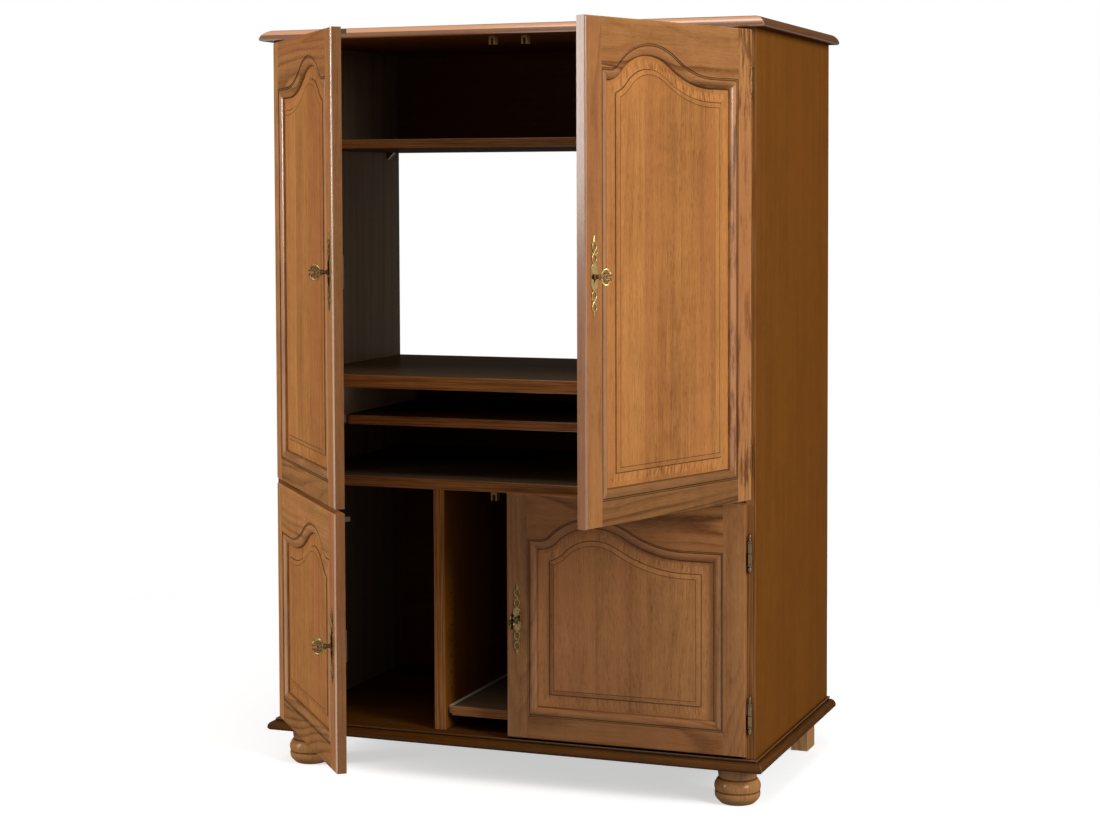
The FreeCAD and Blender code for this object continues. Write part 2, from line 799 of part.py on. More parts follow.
# The joined frame of a door, with its panel groove, stuck moulding and bores.
def door_frame(name, door):
    level = door["level"]
    body = new_body(name + "_frame")
    groove_back = f"({DOOR_BACK} + groove_setback)"
    groove_front = f"({groove_back} + groove_width)"
    layers = (
        (DOOR_BACK, "groove_setback", "sticking_width", "hinge_edge_gap + door_rebate"),
        (groove_back, "groove_width", "(sticking_width - groove_depth)", "hinge_edge_gap"),
        (groove_front, f"door_front - {groove_front}", "sticking_width", "hinge_edge_gap"),
    )
    for offset, depth, inset, hinge_edge in layers:
        sketch = new_sketch(body, "XZ_Plane", offset)
        add_outline(sketch, door_rectangle(door, hinge_edge))
        add_outline(sketch, arch_outline(door, inset))
        extrude(body, "Pad", sketch, depth)
    round_front_edges(body, door)

    quirk = new_sketch(body, "XZ_Plane", "door_front")
    add_outline(quirk, arch_outline(door, "0"))
    extrude(body, "Pocket", quirk, "quirk_depth")
    slope_high = new_sketch(body, "XZ_Plane", "door_front - quirk_depth")
    add_outline(slope_high, arch_outline(door, "quirk_width"))
    slope_low = new_sketch(body, "XZ_Plane", "door_front - sticking_depth")
    add_outline(slope_low, arch_outline(door, "(sticking_width + fit_gap)"))
    loft(body, "SubtractiveLoft", slope_high, slope_low)

    bore = new_sketch(body, "XZ_Plane", "door_front")
    add_outline(bore, polygon(along(door, KEY_U), KEY_LEVEL[level], "key_bore"))
    extrude(body, "Pocket", bore, "door_thickness")
    lock_housing(body, door)
    mortises = new_sketch(body, "YZ_Plane", along(door, "hinge_edge_gap"))
    for height in hinge_levels(level):
        add_outline(mortises, leaf_outline("0", height, True, "running_gap"))
    extrude(body, "Pocket", mortises, "leaf_depth", backwards=door["hand"] > 0)
    return body


# A prism with a stile's outline: its edges, the rail joints and the mitres of the moulding.
def stile_prism(name, door, edge, flat, inner, shoulder):
    level = door["level"]
    body = new_body(name)
    sketch = new_sketch(body, "XZ_Plane", f"{DOOR_BACK} - door_thickness")
    low, high = f"{LOW_EDGE[level]} - stile_flat", f"{HIGH_EDGE[level]} + stile_flat"
    mitre = "(sticking_width + stile_flat / 4)"
    rail = f"{LOW_EDGE[level]} + bottom_rail"
    add_outline(sketch, [(along(door, u), z) for u, z in (
        (edge, low),
        (flat, low),
        (flat, rail),
        (inner, f"{rail} + {mitre}"),
        (inner, f"{shoulder} - {mitre}"),
        (flat, shoulder),
        (flat, high),
        (edge, high),
    )])
    extrude(body, "Pad", sketch, "3 * door_thickness")
    return body


def door_members(name, door):
    level = door["level"]
    frame = door_frame(name, door)
    mitre = "(sticking_width + stile_flat / 4)"
    peak = f"{HIGH_EDGE[level]} - peak_rail"
    hinge_flat = "hinge_edge_gap + stile_flat"
    lock_flat = f"{FREE_EDGE} - stile_flat"
    hinge_side = stile_prism(name + "_hinge_prism", door, "hinge_edge_gap - stile_flat", hinge_flat,
                             f"{hinge_flat} + {mitre}", f"{peak} - hinge_rise")
    lock_side = stile_prism(name + "_lock_prism", door, f"{FREE_EDGE} + stile_flat", lock_flat,
                            f"{lock_flat} - {mitre}", f"{peak} - lock_rise")
    stiles = [combine("Common", frame, prism) for prism in (hinge_side, lock_side)]
    rails = combine("Cut", combine("Cut", frame, hinge_side), lock_side)
    middle = f"({LOW_EDGE[level]} + {HIGH_EDGE[level]}) / 2"
    reach = f"({FREE_EDGE} + stile_flat)"
    lower_half = board("lower_half", (f"-{reach}", "-stile_flat", "0"), (reach, "stile_flat", middle))
    upper_half = board("upper_half", (f"-{reach}", "-stile_flat", middle),
                       (reach, "stile_flat", "overall_height"))
    made = {
        "stiles": group(stiles),
        "bottom_rail": combine("Common", rails, lower_half),
        "top_rail": combine("Common", rails, upper_half),
    }
    for member, thing in made.items():
        keep(f"{name}_{member}", thing)
        hang(name, thing)


# Raised panel: a tongue in the frame's groove, a sloping border, a step and a bevelled field.
def door_panel(name, door):
    body = new_body(name + "_panel")
    tongue_back = f"({DOOR_BACK} + groove_setback + panel_slack)"
    tongue_front = f"({DOOR_BACK} + groove_setback + groove_width - panel_slack)"
    border_front = f"({tongue_front} + border_rise)"
    step_front = f"({border_front} + step_rise)"

    def layer(offset, inset):
        sketch = new_sketch(body, "XZ_Plane", offset)
        add_outline(sketch, arch_outline(door, inset))
        return sketch

    tongue = layer(tongue_back, "(sticking_width - groove_depth + panel_play)")
    extrude(body, "Pad", tongue, f"{tongue_front} - {tongue_back}")
    loft(body, "AdditiveLoft", layer(tongue_front, "border_start"), layer(border_front, "border_end"))
    extrude(body, "Pad", layer(tongue_front, "step_inset"), f"{step_front} - {tongue_front}")
    field_front = f"{step_front} + field_rise"
    loft(body, "AdditiveLoft", layer(step_front, "step_inset"), layer(field_front, "field_inset"))
    hang(name, keep(name + "_panel", body))


# Barrel hinge half with a bulb finial, about its own axis. The lower half has the pin, the upper its bore.
def hinge_half(upper):
    sign = 1 if upper else -1
    body = new_body("hinge_half")

    def ring(height, radius):
        sketch = new_sketch(body, "XY_Plane", height)
        add_outline(sketch, polygon("0", "0", radius, HINGE_SIDES))
        return sketch

    meeting = "barrel_gap" if upper else "0"
    extrude(body, "Pad", ring(meeting, "barrel_radius"), f"barrel_half - {meeting}", backwards=not upper)
    turned = (
        (f"{sign} * barrel_half", "barrel_radius"),
        (f"{sign} * (barrel_half + finial_length / 4)", "finial_neck"),
        (f"{sign} * (barrel_half + finial_length * 2 / 3)", "finial_bulb"),
        (f"{sign} * (barrel_half + finial_length)", "finial_tip"),
    )
    for near, far in zip(turned, turned[1:]):
        loft(body, "AdditiveLoft", ring(*near), ring(*far))
    if upper:
        bore = f"(pin_radius + running_gap) / {math.cos(math.pi / HINGE_SIDES):.4f}"
        extrude(body, "Pocket", ring(meeting, bore), "pin_length", backwards=True)
    else:
        pin = new_sketch(body, "XY_Plane")
        add_circle(pin, "0", "0", "pin_radius")
        extrude(body, "Pad", pin, "pin_length")
    return body


def hinges():
    inner = "(barrel_radius - leaf_thickness / 2)"
    reach = "leaf_depth - running_gap"
    post = hinge_half(upper=False)
    leaf = new_sketch(post, "XZ_Plane", f"-{inner}")
    add_outline(leaf, leaf_outline("0", "0", False))
    extrude(post, "Pad", leaf, f"hinge_axis_front - {inner} + {reach}", backwards=True)
    barrels = {}
    for hand in SIDES.values():
        barrel = hinge_half(upper=True)
        leaf = new_sketch(barrel, "YZ_Plane", f"{hand} * {inner}")
        add_outline(leaf, leaf_outline("0", "0", True))
        extrude(barrel, "Pad", leaf, f"hinge_edge_gap - {inner} + {reach}", backwards=hand < 0)
        barrels[hand] = barrel
    posts = []
    for name, door in DOORS.items():
        levels = hinge_levels(door["level"])
        posts += [placed(post, along(door, f"-{HINGE_X}"), HINGE_Y, height) for height in levels]
        pair = group([placed(barrels[door["hand"]], "0", "0", height) for height in levels])
        hang(name, keep(name + "_hinge_barrels", pair))
    keep("hinge_posts", group(posts))


# Pierced plate: a keyhole plate between two pairs of rings, crossed scrolls and leaf tips.
def escutcheon(name, door):
    level = KEY_LEVEL[door["level"]]
    body = new_body(name + "_escutcheon")
    x = along(door, KEY_U)

    def place(corners):
        sketch = new_sketch(body, "XZ_Plane", "door_front")
        add_outline(sketch, [(f"{x} + {dx}", f"{level} + {dz}") for dx, dz in corners])
        return sketch

    half, tall, cut = "plate_width / 2", "plate_height / 2", "plate_corner"
    plate = place([
        (f"-{half} + {cut}", f"-{tall}"), (f"{half} - {cut}", f"-{tall}"),
        (half, f"-{tall} + {cut}"), (half, f"{tall} - {cut}"),
        (f"{half} - {cut}", tall), (f"-{half} + {cut}", tall),
        (f"-{half}", f"{tall} - {cut}"), (f"-{half}", f"-{tall} + {cut}"),
    ])
    extrude(body, "Pad", plate, "plate_thickness")
    for sign in (1, -1):
        near = f"{sign} * (plate_height / 2 + ring_hole)"
        far = f"{sign} * (plate_height / 2 + ring_hole + ring_spacing)"
        for lean in (1, -1):
            reach = f"{lean} * ring_hole"
            bar = place([
                (f"{reach} - scroll_width / 2", near), (f"{reach} + scroll_width / 2", near),
                (f"-{reach} + scroll_width / 2", far), (f"-{reach} - scroll_width / 2", far),
            ])
            extrude(body, "Pad", bar, "plate_thickness")
        rings = new_sketch(body, "XZ_Plane", "door_front")
        for centre in (near, far):
            add_outline(rings, polygon(x, f"{level} + {centre}", "ring_radius"))
        extrude(body, "Pad", rings, "plate_thickness")
        root = f"{far} + {sign} * (ring_radius + ring_hole) / 2"
        tip = place([
            ("0", root), ("tip_width / 2", f"{root} + {sign} * tip_height / 3"),
            ("0", f"{root} + {sign} * tip_height"), ("-tip_width / 2", f"{root} + {sign} * tip_height / 3"),
        ])
        extrude(body, "Pad", tip, "plate_thickness")
        holes = new_sketch(body, "XZ_Plane", "door_front + plate_thickness")
        for centre in (near, far):
            add_outline(holes, polygon(x, f"{level} + {centre}", "ring_hole"))
        extrude(body, "Pocket", holes, "plate_thickness")
    keyhole = new_sketch(body, "XZ_Plane", "door_front + plate_thickness")
    add_outline(keyhole, polygon(x, level, "keyhole_radius"))
    extrude(body, "Pocket", keyhole, "plate_thickness")
    slot = new_sketch(body, "XZ_Plane", "door_front + plate_thickness")
    add_outline(slot, rectangle(f"{x} - keyhole_slot / 2", f"{level} - keyhole_drop",
                                f"{x} + keyhole_slot / 2", level))
    extrude(body, "Pocket", slot, "plate_thickness")
    hang(name, keep(name + "_escutcheon", body))


# Key: a shank that turns in the lock case, a bit in its room and a pierced bow in front of the plate.
def key(name, door):
    level = KEY_LEVEL[door["level"]]
    x = along(door, KEY_U)
    body = new_body(name + "_key")
    inner_end = f"({CASE_BACK} + runner_sheet)"
    bow_start = "(door_front + plate_thickness + key_reach)"
    shank = new_sketch(body, "XZ_Plane", inner_end)
    add_circle(shank, x, level, "key_radius")
    extrude(body, "Pad", shank, f"{bow_start} + bow_hole_offset / 4 - {inner_end}")

    bow = new_sketch(body, "YZ_Plane", f"{x} - bow_thickness / 2")
    middle = f"(-{bow_start} - bow_radius)"
    tall, cut = "bow_height / 2", "bow_radius * 0.6"
    add_outline(bow, [
        (f"{middle} + bow_radius", f"{level} - {tall} + {cut}"),
        (f"{middle} + bow_radius", f"{level} + {tall} - {cut}"),
        (f"{middle} + bow_radius - {cut}", f"{level} + {tall}"),
        (f"{middle} - bow_radius + {cut}", f"{level} + {tall}"),
        (f"{middle} - bow_radius", f"{level} + {tall} - {cut}"),
        (f"{middle} - bow_radius", f"{level} - {tall} + {cut}"),
        (f"{middle} - bow_radius + {cut}", f"{level} - {tall}"),
        (f"{middle} + bow_radius - {cut}", f"{level} - {tall}"),
    ])
    for sign in (1, -1):
        add_outline(bow, polygon(middle, f"{level} + {sign} * bow_hole_offset", "bow_hole"))
    extrude(body, "Pad", bow, "bow_thickness")

    bit = new_sketch(body, "XZ_Plane", f"{LOCK_SEAT} - bit_room_depth + fit_gap")
    add_outline(bit, rectangle(f"{x} - bit_thickness / 2", f"{level} - bit_length",
                               f"{x} + bit_thickness / 2", level))
    extrude(body, "Pad", bit, "bit_room_depth - 2 * fit_gap")
    hang(name, keep(name + "_key", body))


# The bolts of a pair of doors run at different heights, so that both can be shot.
def bolt_middle(door):
    return f"({KEY_LEVEL[door['level']]} + {door['hand']} * bolt_offset)"


# Lock let into the back of the lock stile. Its bolt runs behind the door, and the catch's tongue is above it.
def lock_case(name, door):
    level = KEY_LEVEL[door["level"]]
    body = new_body(name + "_lock_case")
    outline = new_sketch(body, "XZ_Plane", CASE_BACK)
    add_outline(outline, rectangle(along(door, f"{CASE_EDGE} - case_width"), f"{level} - case_height / 2",
                                   along(door, CASE_EDGE), f"{level} + case_height / 2"))
    extrude(body, "Pad", outline, "case_depth")
    room = new_sketch(body, "XZ_Plane", LOCK_SEAT)
    add_outline(room, rectangle(f"{along(door, KEY_U)} - bit_room_radius", f"{level} - bit_room_radius",
                                f"{along(door, KEY_U)} + bit_room_radius", f"{level} + bit_room_radius"))
    extrude(body, "Pocket", room, "bit_room_depth")
    bore = new_sketch(body, "XZ_Plane", LOCK_SEAT)
    bore_radius = f"(key_radius + running_gap) / {math.cos(math.pi / 8):.4f}"
    add_outline(bore, polygon(along(door, KEY_U), level, bore_radius))
    extrude(body, "Pocket", bore, "case_depth - runner_sheet / 2")
    channel = new_sketch(body, "YZ_Plane", along(door, CASE_EDGE))
    middle = bolt_middle(door)
    low, high = f"-{DOOR_BACK}", f"-({BOLT_BACK} - bolt_play)"
    add_outline(channel, rectangle(low, f"{middle} - bolt_height / 2 - bolt_play",
                                   high, f"{middle} + bolt_height / 2 + bolt_play"))
    extrude(body, "Pocket", channel, "case_width - runner_sheet", backwards=door["hand"] < 0)

    strike = new_body(name + "_strike")
    centre = f"({HINGE_X} - catch_offset)"
    height = f"{CEILINGS[door['level']]} - strike_drop"
    plate = new_sketch(strike, "XZ_Plane", f"{DOOR_BACK} - runner_sheet")
    add_outline(plate, [(along(door, f"{centre} + {across} * strike_width / 2"),
                         f"{height} + {up} * strike_height / 2") for across, up in CORNERS])
    extrude(strike, "Pad", plate, "runner_sheet")
    tongue = new_sketch(strike, "XZ_Plane", f"{DOOR_BACK} - runner_sheet - tongue_length")
    add_outline(tongue, [(along(door, f"{centre} + {across} * tongue_width / 2"),
                          f"{height} + {up} * tongue_height / 2") for across, up in CORNERS])
    extrude(strike, "Pad", tongue, "tongue_length")
    hang(name, keep(name + "_lock_and_strike", group([body, strike])))


def lock_bolt(name, door):
    body = new_body(name + "_lock_bolt")
    middle = bolt_middle(door)
    outer = f"({FREE_EDGE} - bolt_setback)"
    sketch = new_sketch(body, "XZ_Plane", BOLT_BACK)
    add_outline(sketch, rectangle(along(door, f"{outer} - bolt_length"), f"{middle} - bolt_height / 2",
                                  along(door, outer), f"{middle} + bolt_height / 2"))
    extrude(body, "Pad", sketch, "bolt_thickness")
    hang(name, keep(name + "_lock_bolt", body))


def build():
    for side_name, side in SIDES.items():
        side_panel(side_name + "_side_panel", side)
    edgings("crown", crown_section, CROWN_LOW, "crown_height", "crown_overhang", "crown_front_overhang")
    edgings("base", base_section, "foot_height", "base_height", "base_overhang", "base_front_overhang")
    keep("bun_feet", group([bun_foot(side) for side in SIDES.values()]))
    keep("rear_feet", group([rear_foot(side) for side in SIDES.values()]))
    back_panel("upper_back_panel", TOP_SHELF, CROWN_LOW)
    back_panel("lower_back_panel", BASE_TOP, "worktop_level + back_overlap")
    shelf("top_shelf", TOP_SHELF, "top_shelf_thickness")
    shelf("worktop", "worktop_level", "worktop_thickness")
    shelf("middle_shelf", "middle_shelf_level", "middle_shelf_thickness")
    centre_partition()
    shelf_supports()
    door_catches()
    trays()
    hinges()
    for name, door in DOORS.items():
        door_members(name, door)
        door_panel(name, door)
        escutcheon(name, door)
        lock_case(name, door)
        lock_bolt(name, door)
        key(name, door)
    doc.recompute()


# Every object must have built and every piece must be valid before anything is written.
def write_parts():
    failed = [thing.Label for thing in doc.Objects if {"Invalid", "Error"} & set(thing.State)]
    if failed:
        raise RuntimeError("failed to build: " + ", ".join(failed))
    for label, thing in pieces.items():
        if thing.Shape.isNull() or not thing.Shape.isValid() or not thing.Shape.Solids:
            raise RuntimeError("bad shape: " + label)
    os.makedirs("parts", exist_ok=True)
    for label, thing in pieces.items():
        thing.Shape.exportStep(f"parts/{label}.step")
    print(len(pieces), "pieces,", sum(len(thing.Shape.Solids) for thing in pieces.values()), "solids")


build()
write_parts()
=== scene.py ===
import json
import math

import bmesh
import bpy
from mathutils import Matrix, Vector

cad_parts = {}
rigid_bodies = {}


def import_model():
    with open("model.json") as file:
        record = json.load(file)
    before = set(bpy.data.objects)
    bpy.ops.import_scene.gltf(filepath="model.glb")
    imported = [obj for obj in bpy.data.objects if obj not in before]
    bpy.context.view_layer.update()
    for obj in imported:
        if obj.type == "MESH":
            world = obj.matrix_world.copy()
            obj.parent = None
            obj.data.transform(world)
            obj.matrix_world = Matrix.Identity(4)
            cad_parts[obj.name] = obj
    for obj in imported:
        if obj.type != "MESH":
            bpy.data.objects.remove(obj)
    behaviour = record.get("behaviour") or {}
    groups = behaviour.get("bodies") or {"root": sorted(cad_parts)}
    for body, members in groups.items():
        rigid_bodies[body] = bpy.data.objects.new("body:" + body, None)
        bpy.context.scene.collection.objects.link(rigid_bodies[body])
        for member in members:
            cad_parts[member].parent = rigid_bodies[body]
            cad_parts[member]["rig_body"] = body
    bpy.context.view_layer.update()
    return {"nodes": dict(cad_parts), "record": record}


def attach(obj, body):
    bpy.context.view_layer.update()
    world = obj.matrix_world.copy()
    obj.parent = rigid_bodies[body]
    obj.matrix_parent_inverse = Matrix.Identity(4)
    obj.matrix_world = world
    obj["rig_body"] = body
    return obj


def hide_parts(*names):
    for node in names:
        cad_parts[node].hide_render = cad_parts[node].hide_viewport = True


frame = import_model()
nodes = frame["nodes"]
slotOf = {row["node"]: row["material_slot"] for row in frame["record"]["subparts"]}
print("frame loaded:", len(nodes), "nodes")


# shader wiring

class Wire:  # a shader value that can be added, multiplied and so on
    def __init__(self, graph, socket):
        self.graph = graph
        self.socket = socket

    def __add__(self, other):
        return self.graph.math("ADD", self, other)

    def __sub__(self, other):
        return self.graph.math("SUBTRACT", self, other)

    def __rsub__(self, other):
        return self.graph.math("SUBTRACT", other, self)

    def __mul__(self, other):
        return self.graph.math("MULTIPLY", self, other)

    def __truediv__(self, other):
        return self.graph.math("DIVIDE", self, other)

    __radd__ = __add__


class Graph:  # the nodes of a material or of the sky
    def __init__(self, owner):
        owner.use_nodes = True
        self.tree = owner.node_tree
        self.tree.nodes.clear()

    # Any node: its settings are set first, then its inputs are given values or links.
    def node(self, kind, settings=None, inputs=None, output=0):
        made = self.tree.nodes.new(kind)
        for key, setting in (settings or {}).items():
            setattr(made, key, setting)
        for key, given in (inputs or {}).items():
            if isinstance(given, Wire):
                self.tree.links.new(given.socket, made.inputs[key])
            else:
                made.inputs[key].default_value = given
        return Wire(self, made.outputs[output]) if made.outputs else None

    def math(self, operation, first, second=0.0, clamp=False):
        settings = {"operation": operation, "use_clamp": clamp}
        return self.node("ShaderNodeMath", settings, {0: first, 1: second})

    # One where the camera looks, straight or by way of something shiny, and elsewhere the least.
    def seen(self, least):
        for kind in ("Is Camera Ray", "Is Glossy Ray", "Is Transmission Ray"):
            least = self.math("MAXIMUM", self.node("ShaderNodeLightPath", output=kind), least)
        return least


class Paint(Graph):  # one material
    def __init__(self, name, **plain):
        self.material = bpy.data.materials.new(name)
        super().__init__(self.material)
        values = {socket.replace("_", " "): value for socket, value in plain.items()}
        surface = self.node("ShaderNodeBsdfPrincipled", None, values)
        self.node("ShaderNodeOutputMaterial", None, {"Surface": surface})
        self.shader = surface.socket.node

    def feed(self, socket, wire):
        self.tree.links.new(wire.socket, self.shader.inputs[socket])

    def blend(self, amount, first, second):
        return self.node("ShaderNodeMix", {"data_type": "RGBA"}, {0: amount, 6: first, 7: second}, 2)

    def step(self, wire, low, high):
        return self.node("ShaderNodeMapRange", {"interpolation_type": "SMOOTHSTEP"},
                         {"Value": wire, "From Min": low, "From Max": high})

    def place(self):
        return self.node("ShaderNodeTexCoord", output=3)

    def attribute(self, name):  # a number that each face carries
        return self.node("ShaderNodeAttribute", {"attribute_name": name}, output=2)

    def noise(self, vector, factors, detail=2.0, roughness=0.5):
        scaled = self.node("ShaderNodeVectorMath", {"operation": "MULTIPLY"}, {0: vector, 1: factors})
        return self.node("ShaderNodeTexNoise", None,
                         {"Vector": scaled, "Scale": 1.0, "Detail": detail, "Roughness": roughness})

    def bump(self, height, distance):
        inputs = {"Height": height, "Distance": distance, "Strength": 0.5}
        self.feed("Normal", self.node("ShaderNodeBump", None, inputs))


def tone(red, green, blue):  # screen colour from 0 to 255, made linear
    parts = [part / 255 for part in (red, green, blue)]
    return (*[part / 12.92 if part <= 0.04045 else ((part + 0.055) / 1.055) ** 2.4 for part in parts], 1.0)


def dimmed(colour, share, tint=(1, 1, 1)):
    return (*[part * share * shift for part, shift in zip(colour, tint)], 1.0)


def boardSeed(kind, index):  # no two boards have the same grain
    first, step = boardSeeds[kind]
    return first + index * step


def atLeast(least, wire):  # a mask that fades to this instead of to nothing
    return least + wire * (1 - least)


# Oak. The figure is the strength of the growth rings, which stand a spacing apart in metres.
edgingGrain = {"spacing": 0.0080, "figure": 0.30, "fleck": 0.20, "pore": 0.35}
oakLooks = {
    "oak_frame": {"light": tone(206, 143, 84), "dark": tone(112, 65, 28), "warm": tone(184, 110, 65),
                  "spacing": 0.0090, "figure": 0.34, "fleck": 0.20, "pore": 0.45, "sheen": 0.032},
    "oak_rail": {"light": tone(206, 143, 84), "dark": tone(106, 61, 26), "warm": tone(184, 110, 65),
                 "spacing": 0.0130, "figure": 0.80, "fleck": 0.16, "pore": 0.45, "sheen": 0.020},
    "oak_panel": {"light": tone(208, 141, 77), "dark": tone(122, 71, 31), "warm": tone(184, 112, 64),
                  "spacing": 0.0140, "figure": 0.12, "fleck": 0.24, "pore": 0.50, "sheen": 0.025},
    "oak_side": {"light": tone(136, 82, 26), "dark": tone(96, 55, 13), "warm": tone(126, 72, 21),
                 "spacing": 0.0070, "figure": 0.12, "fleck": 0.18, "pore": 0.30, "sheen": 0.010},
    "oak_edging": {"light": tone(148, 98, 56), "dark": tone(82, 49, 23), "warm": tone(130, 80, 45),
                   **edgingGrain, "sheen": 0.150},
    "oak_inside": {"light": tone(112, 91, 68), "dark": tone(78, 63, 46), "warm": tone(104, 81, 58),
                   "spacing": 0.0080, "figure": 0.20, "fleck": 0.16, "pore": 0.25, "sheen": 0.010},
    "back_board": {"light": tone(104, 70, 42), "dark": tone(80, 52, 30), "warm": tone(96, 61, 36),
                   "spacing": 0.0100, "figure": 0.12, "fleck": 0.16, "pore": 0.15, "sheen": 0.010},
    "plain_wood": {"light": tone(206, 160, 106), "dark": tone(150, 104, 60), "warm": tone(194, 142, 90),
                   "spacing": 0.0060, "figure": 0.50, "fleck": 0.16, "pore": 0.25, "sheen": 0.010},
    "turned_foot": {"light": tone(204, 144, 82), "dark": tone(124, 78, 36), "warm": tone(182, 118, 64),
                    "spacing": 0.0060, "figure": 0.14, "fleck": 0.22, "pore": 0.40, "sheen": 0.045},
    "base_edging": {"light": tone(104, 62, 19), "dark": tone(56, 31, 7), "warm": tone(90, 51, 15),
                    **edgingGrain, "sheen": 0.018},
    # the crown's sides, a darker copy of the edging look: painted shade
    "crown_side": {"light": tone(119, 77, 41), "dark": tone(66, 38, 17), "warm": tone(104, 63, 34),
                   **edgingGrain, "sheen": 0.030},
}
# the greyer inside of a side panel and the lighter front of a board, which end this far past their faces
facings = {
    "lining": {"light": tone(138, 121, 99), "dark": tone(128, 111, 89), "ends": (0.0004, 0.0014)},
    "lipping": {"light": tone(188, 128, 72), "dark": tone(130, 82, 40), "ends": (0.0, 0.001)},
}
# noise in the wood: waves per metre across, through and along the grain, then detail and roughness
grainNoise = {
    "heart": ((0, 0, 0.8), 1),
    "sway": ((4, 4, 1.6),),
    "curl": ((26, 26, 5),),
    "strong": ((7, 7, 1.8),),
    "broad": ((48, 48, 1.4),),
    "fibre": ((420, 420, 8), 3, 0.6),
    "cloud": ((7, 7, 3.4), 4, 0.6),
    "ripple": ((13, 13, 27), 3),
    "hue": ((9, 3, 1.1),),
    "fleck": ((430, 430, 62), 2),
    "ray": ((330, 370, 48), 2),
    "pores": ((1500, 1500, 75), 1),
    "streak": ((74, 74, 10.5), 4, 0.66),
    "dash": ((300, 300, 17), 2),
}
# levels of a noise where its marks start and are full
grainMarks = {"strong": (0.36, 0.60), "fleck": (0.53, 0.70), "ray": (0.55, 0.72), "pores": (0.60, 0.72),
              "hue": (0.42, 0.72), "streak": (0.45, 0.63), "facing": (0.3, 0.7)}
grainOrder = {"z": (0, 1, 2), "x": (2, 1, 0), "y": (0, 2, 1)}  # axes across, through and along the grain
# the heart of the tree lies behind the board and wanders, in metres, and a ring fades in and out
rings = {"fold": 0.13, "aside": 0.05, "behind": 0.06, "wander": 0.24, "lean": 0.18, "sway": 0.060,
         "curl": 0.010, "rise": 0.18, "fall": 0.7}
stainShares = {"plain": 0.32, "broad": 0.50, "fibre": 0.50, "cloud": 0.60, "ripple": 0.28, "ray": 0.6,
               "faint": 0.15, "streak": 0.45, "warm": 0.50, "stave": 0.30, "endGrain": 2.6, "endLight": 0.12}
# how dark the pores are, how much lighter a painted highlight is, and how dark stain with painted shade is
stainAndPaintedLight = {"pores": 0.35, "paintedHighlight": 2.6, "recess": 0.28, "recessShare": 0.80}
poreShares = {"late": 0.30, "plain": 0.35}  # the pores left in late wood and where the figure fades
oakRoughness = {"plain": 0.42, "pores": 0.2, "fibre": 0.14, "cloud": 0.12}
oakRelief = {"fibre": 0.3, "broad": 0.2, "pores": 0.7, "fleck": 0.15, "height": 0.00025}
oakCoat = {"ior": 4.0, "roughness": 0.2, "polish": 0.30}
seedShift = {"heart": 0.37, "length": 1.7}
boardSeeds = {"carcass": (0.2, 0.73), "door": (2.3, 1.91), "panel": (3.2, 1.91)}  # the first seed and a step
flameReach = (0.09, 0.13)  # from the hinge pin, where the streaks of a hinge stile end
staveShift = {"along": 9.1, "across": 0.31}  # metres at most, for a grain of its own


# The early wood of the growth rings, where the face of the board cuts them.
def earlyWood(paint, wave, across, depth, seed, spacing):
    heart = wave("heart")
    offset = paint.math("PINGPONG", across + seed * seedShift["heart"] + heart * rings["wander"],
                        rings["fold"]) - rings["aside"]
    behind = depth + rings["behind"] + (heart - 0.5) * rings["lean"]
    radius = paint.math("SQRT", offset * offset + behind * behind)
    radius = radius + (wave("sway") - 0.5) * rings["sway"] + (wave("curl") - 0.5) * rings["curl"]
    ring = paint.math("FRACT", radius / spacing)
    return (1 - paint.step(ring, 0.0, rings["fall"])) * paint.step(ring, 0.0, rings["rise"])


def faced(paint, colour, kind, distance, level, texture, share=1.0):
    facing = facings[kind]
    light, dark = [dimmed(facing[part], share) for part in ("light", "dark")]
    start, stop = [level + end for end in facing["ends"]]
    tones = paint.blend(paint.step(texture, *grainMarks["facing"]), light, dark)
    return paint.blend(1 - paint.step(distance, start, stop), colour, tones)


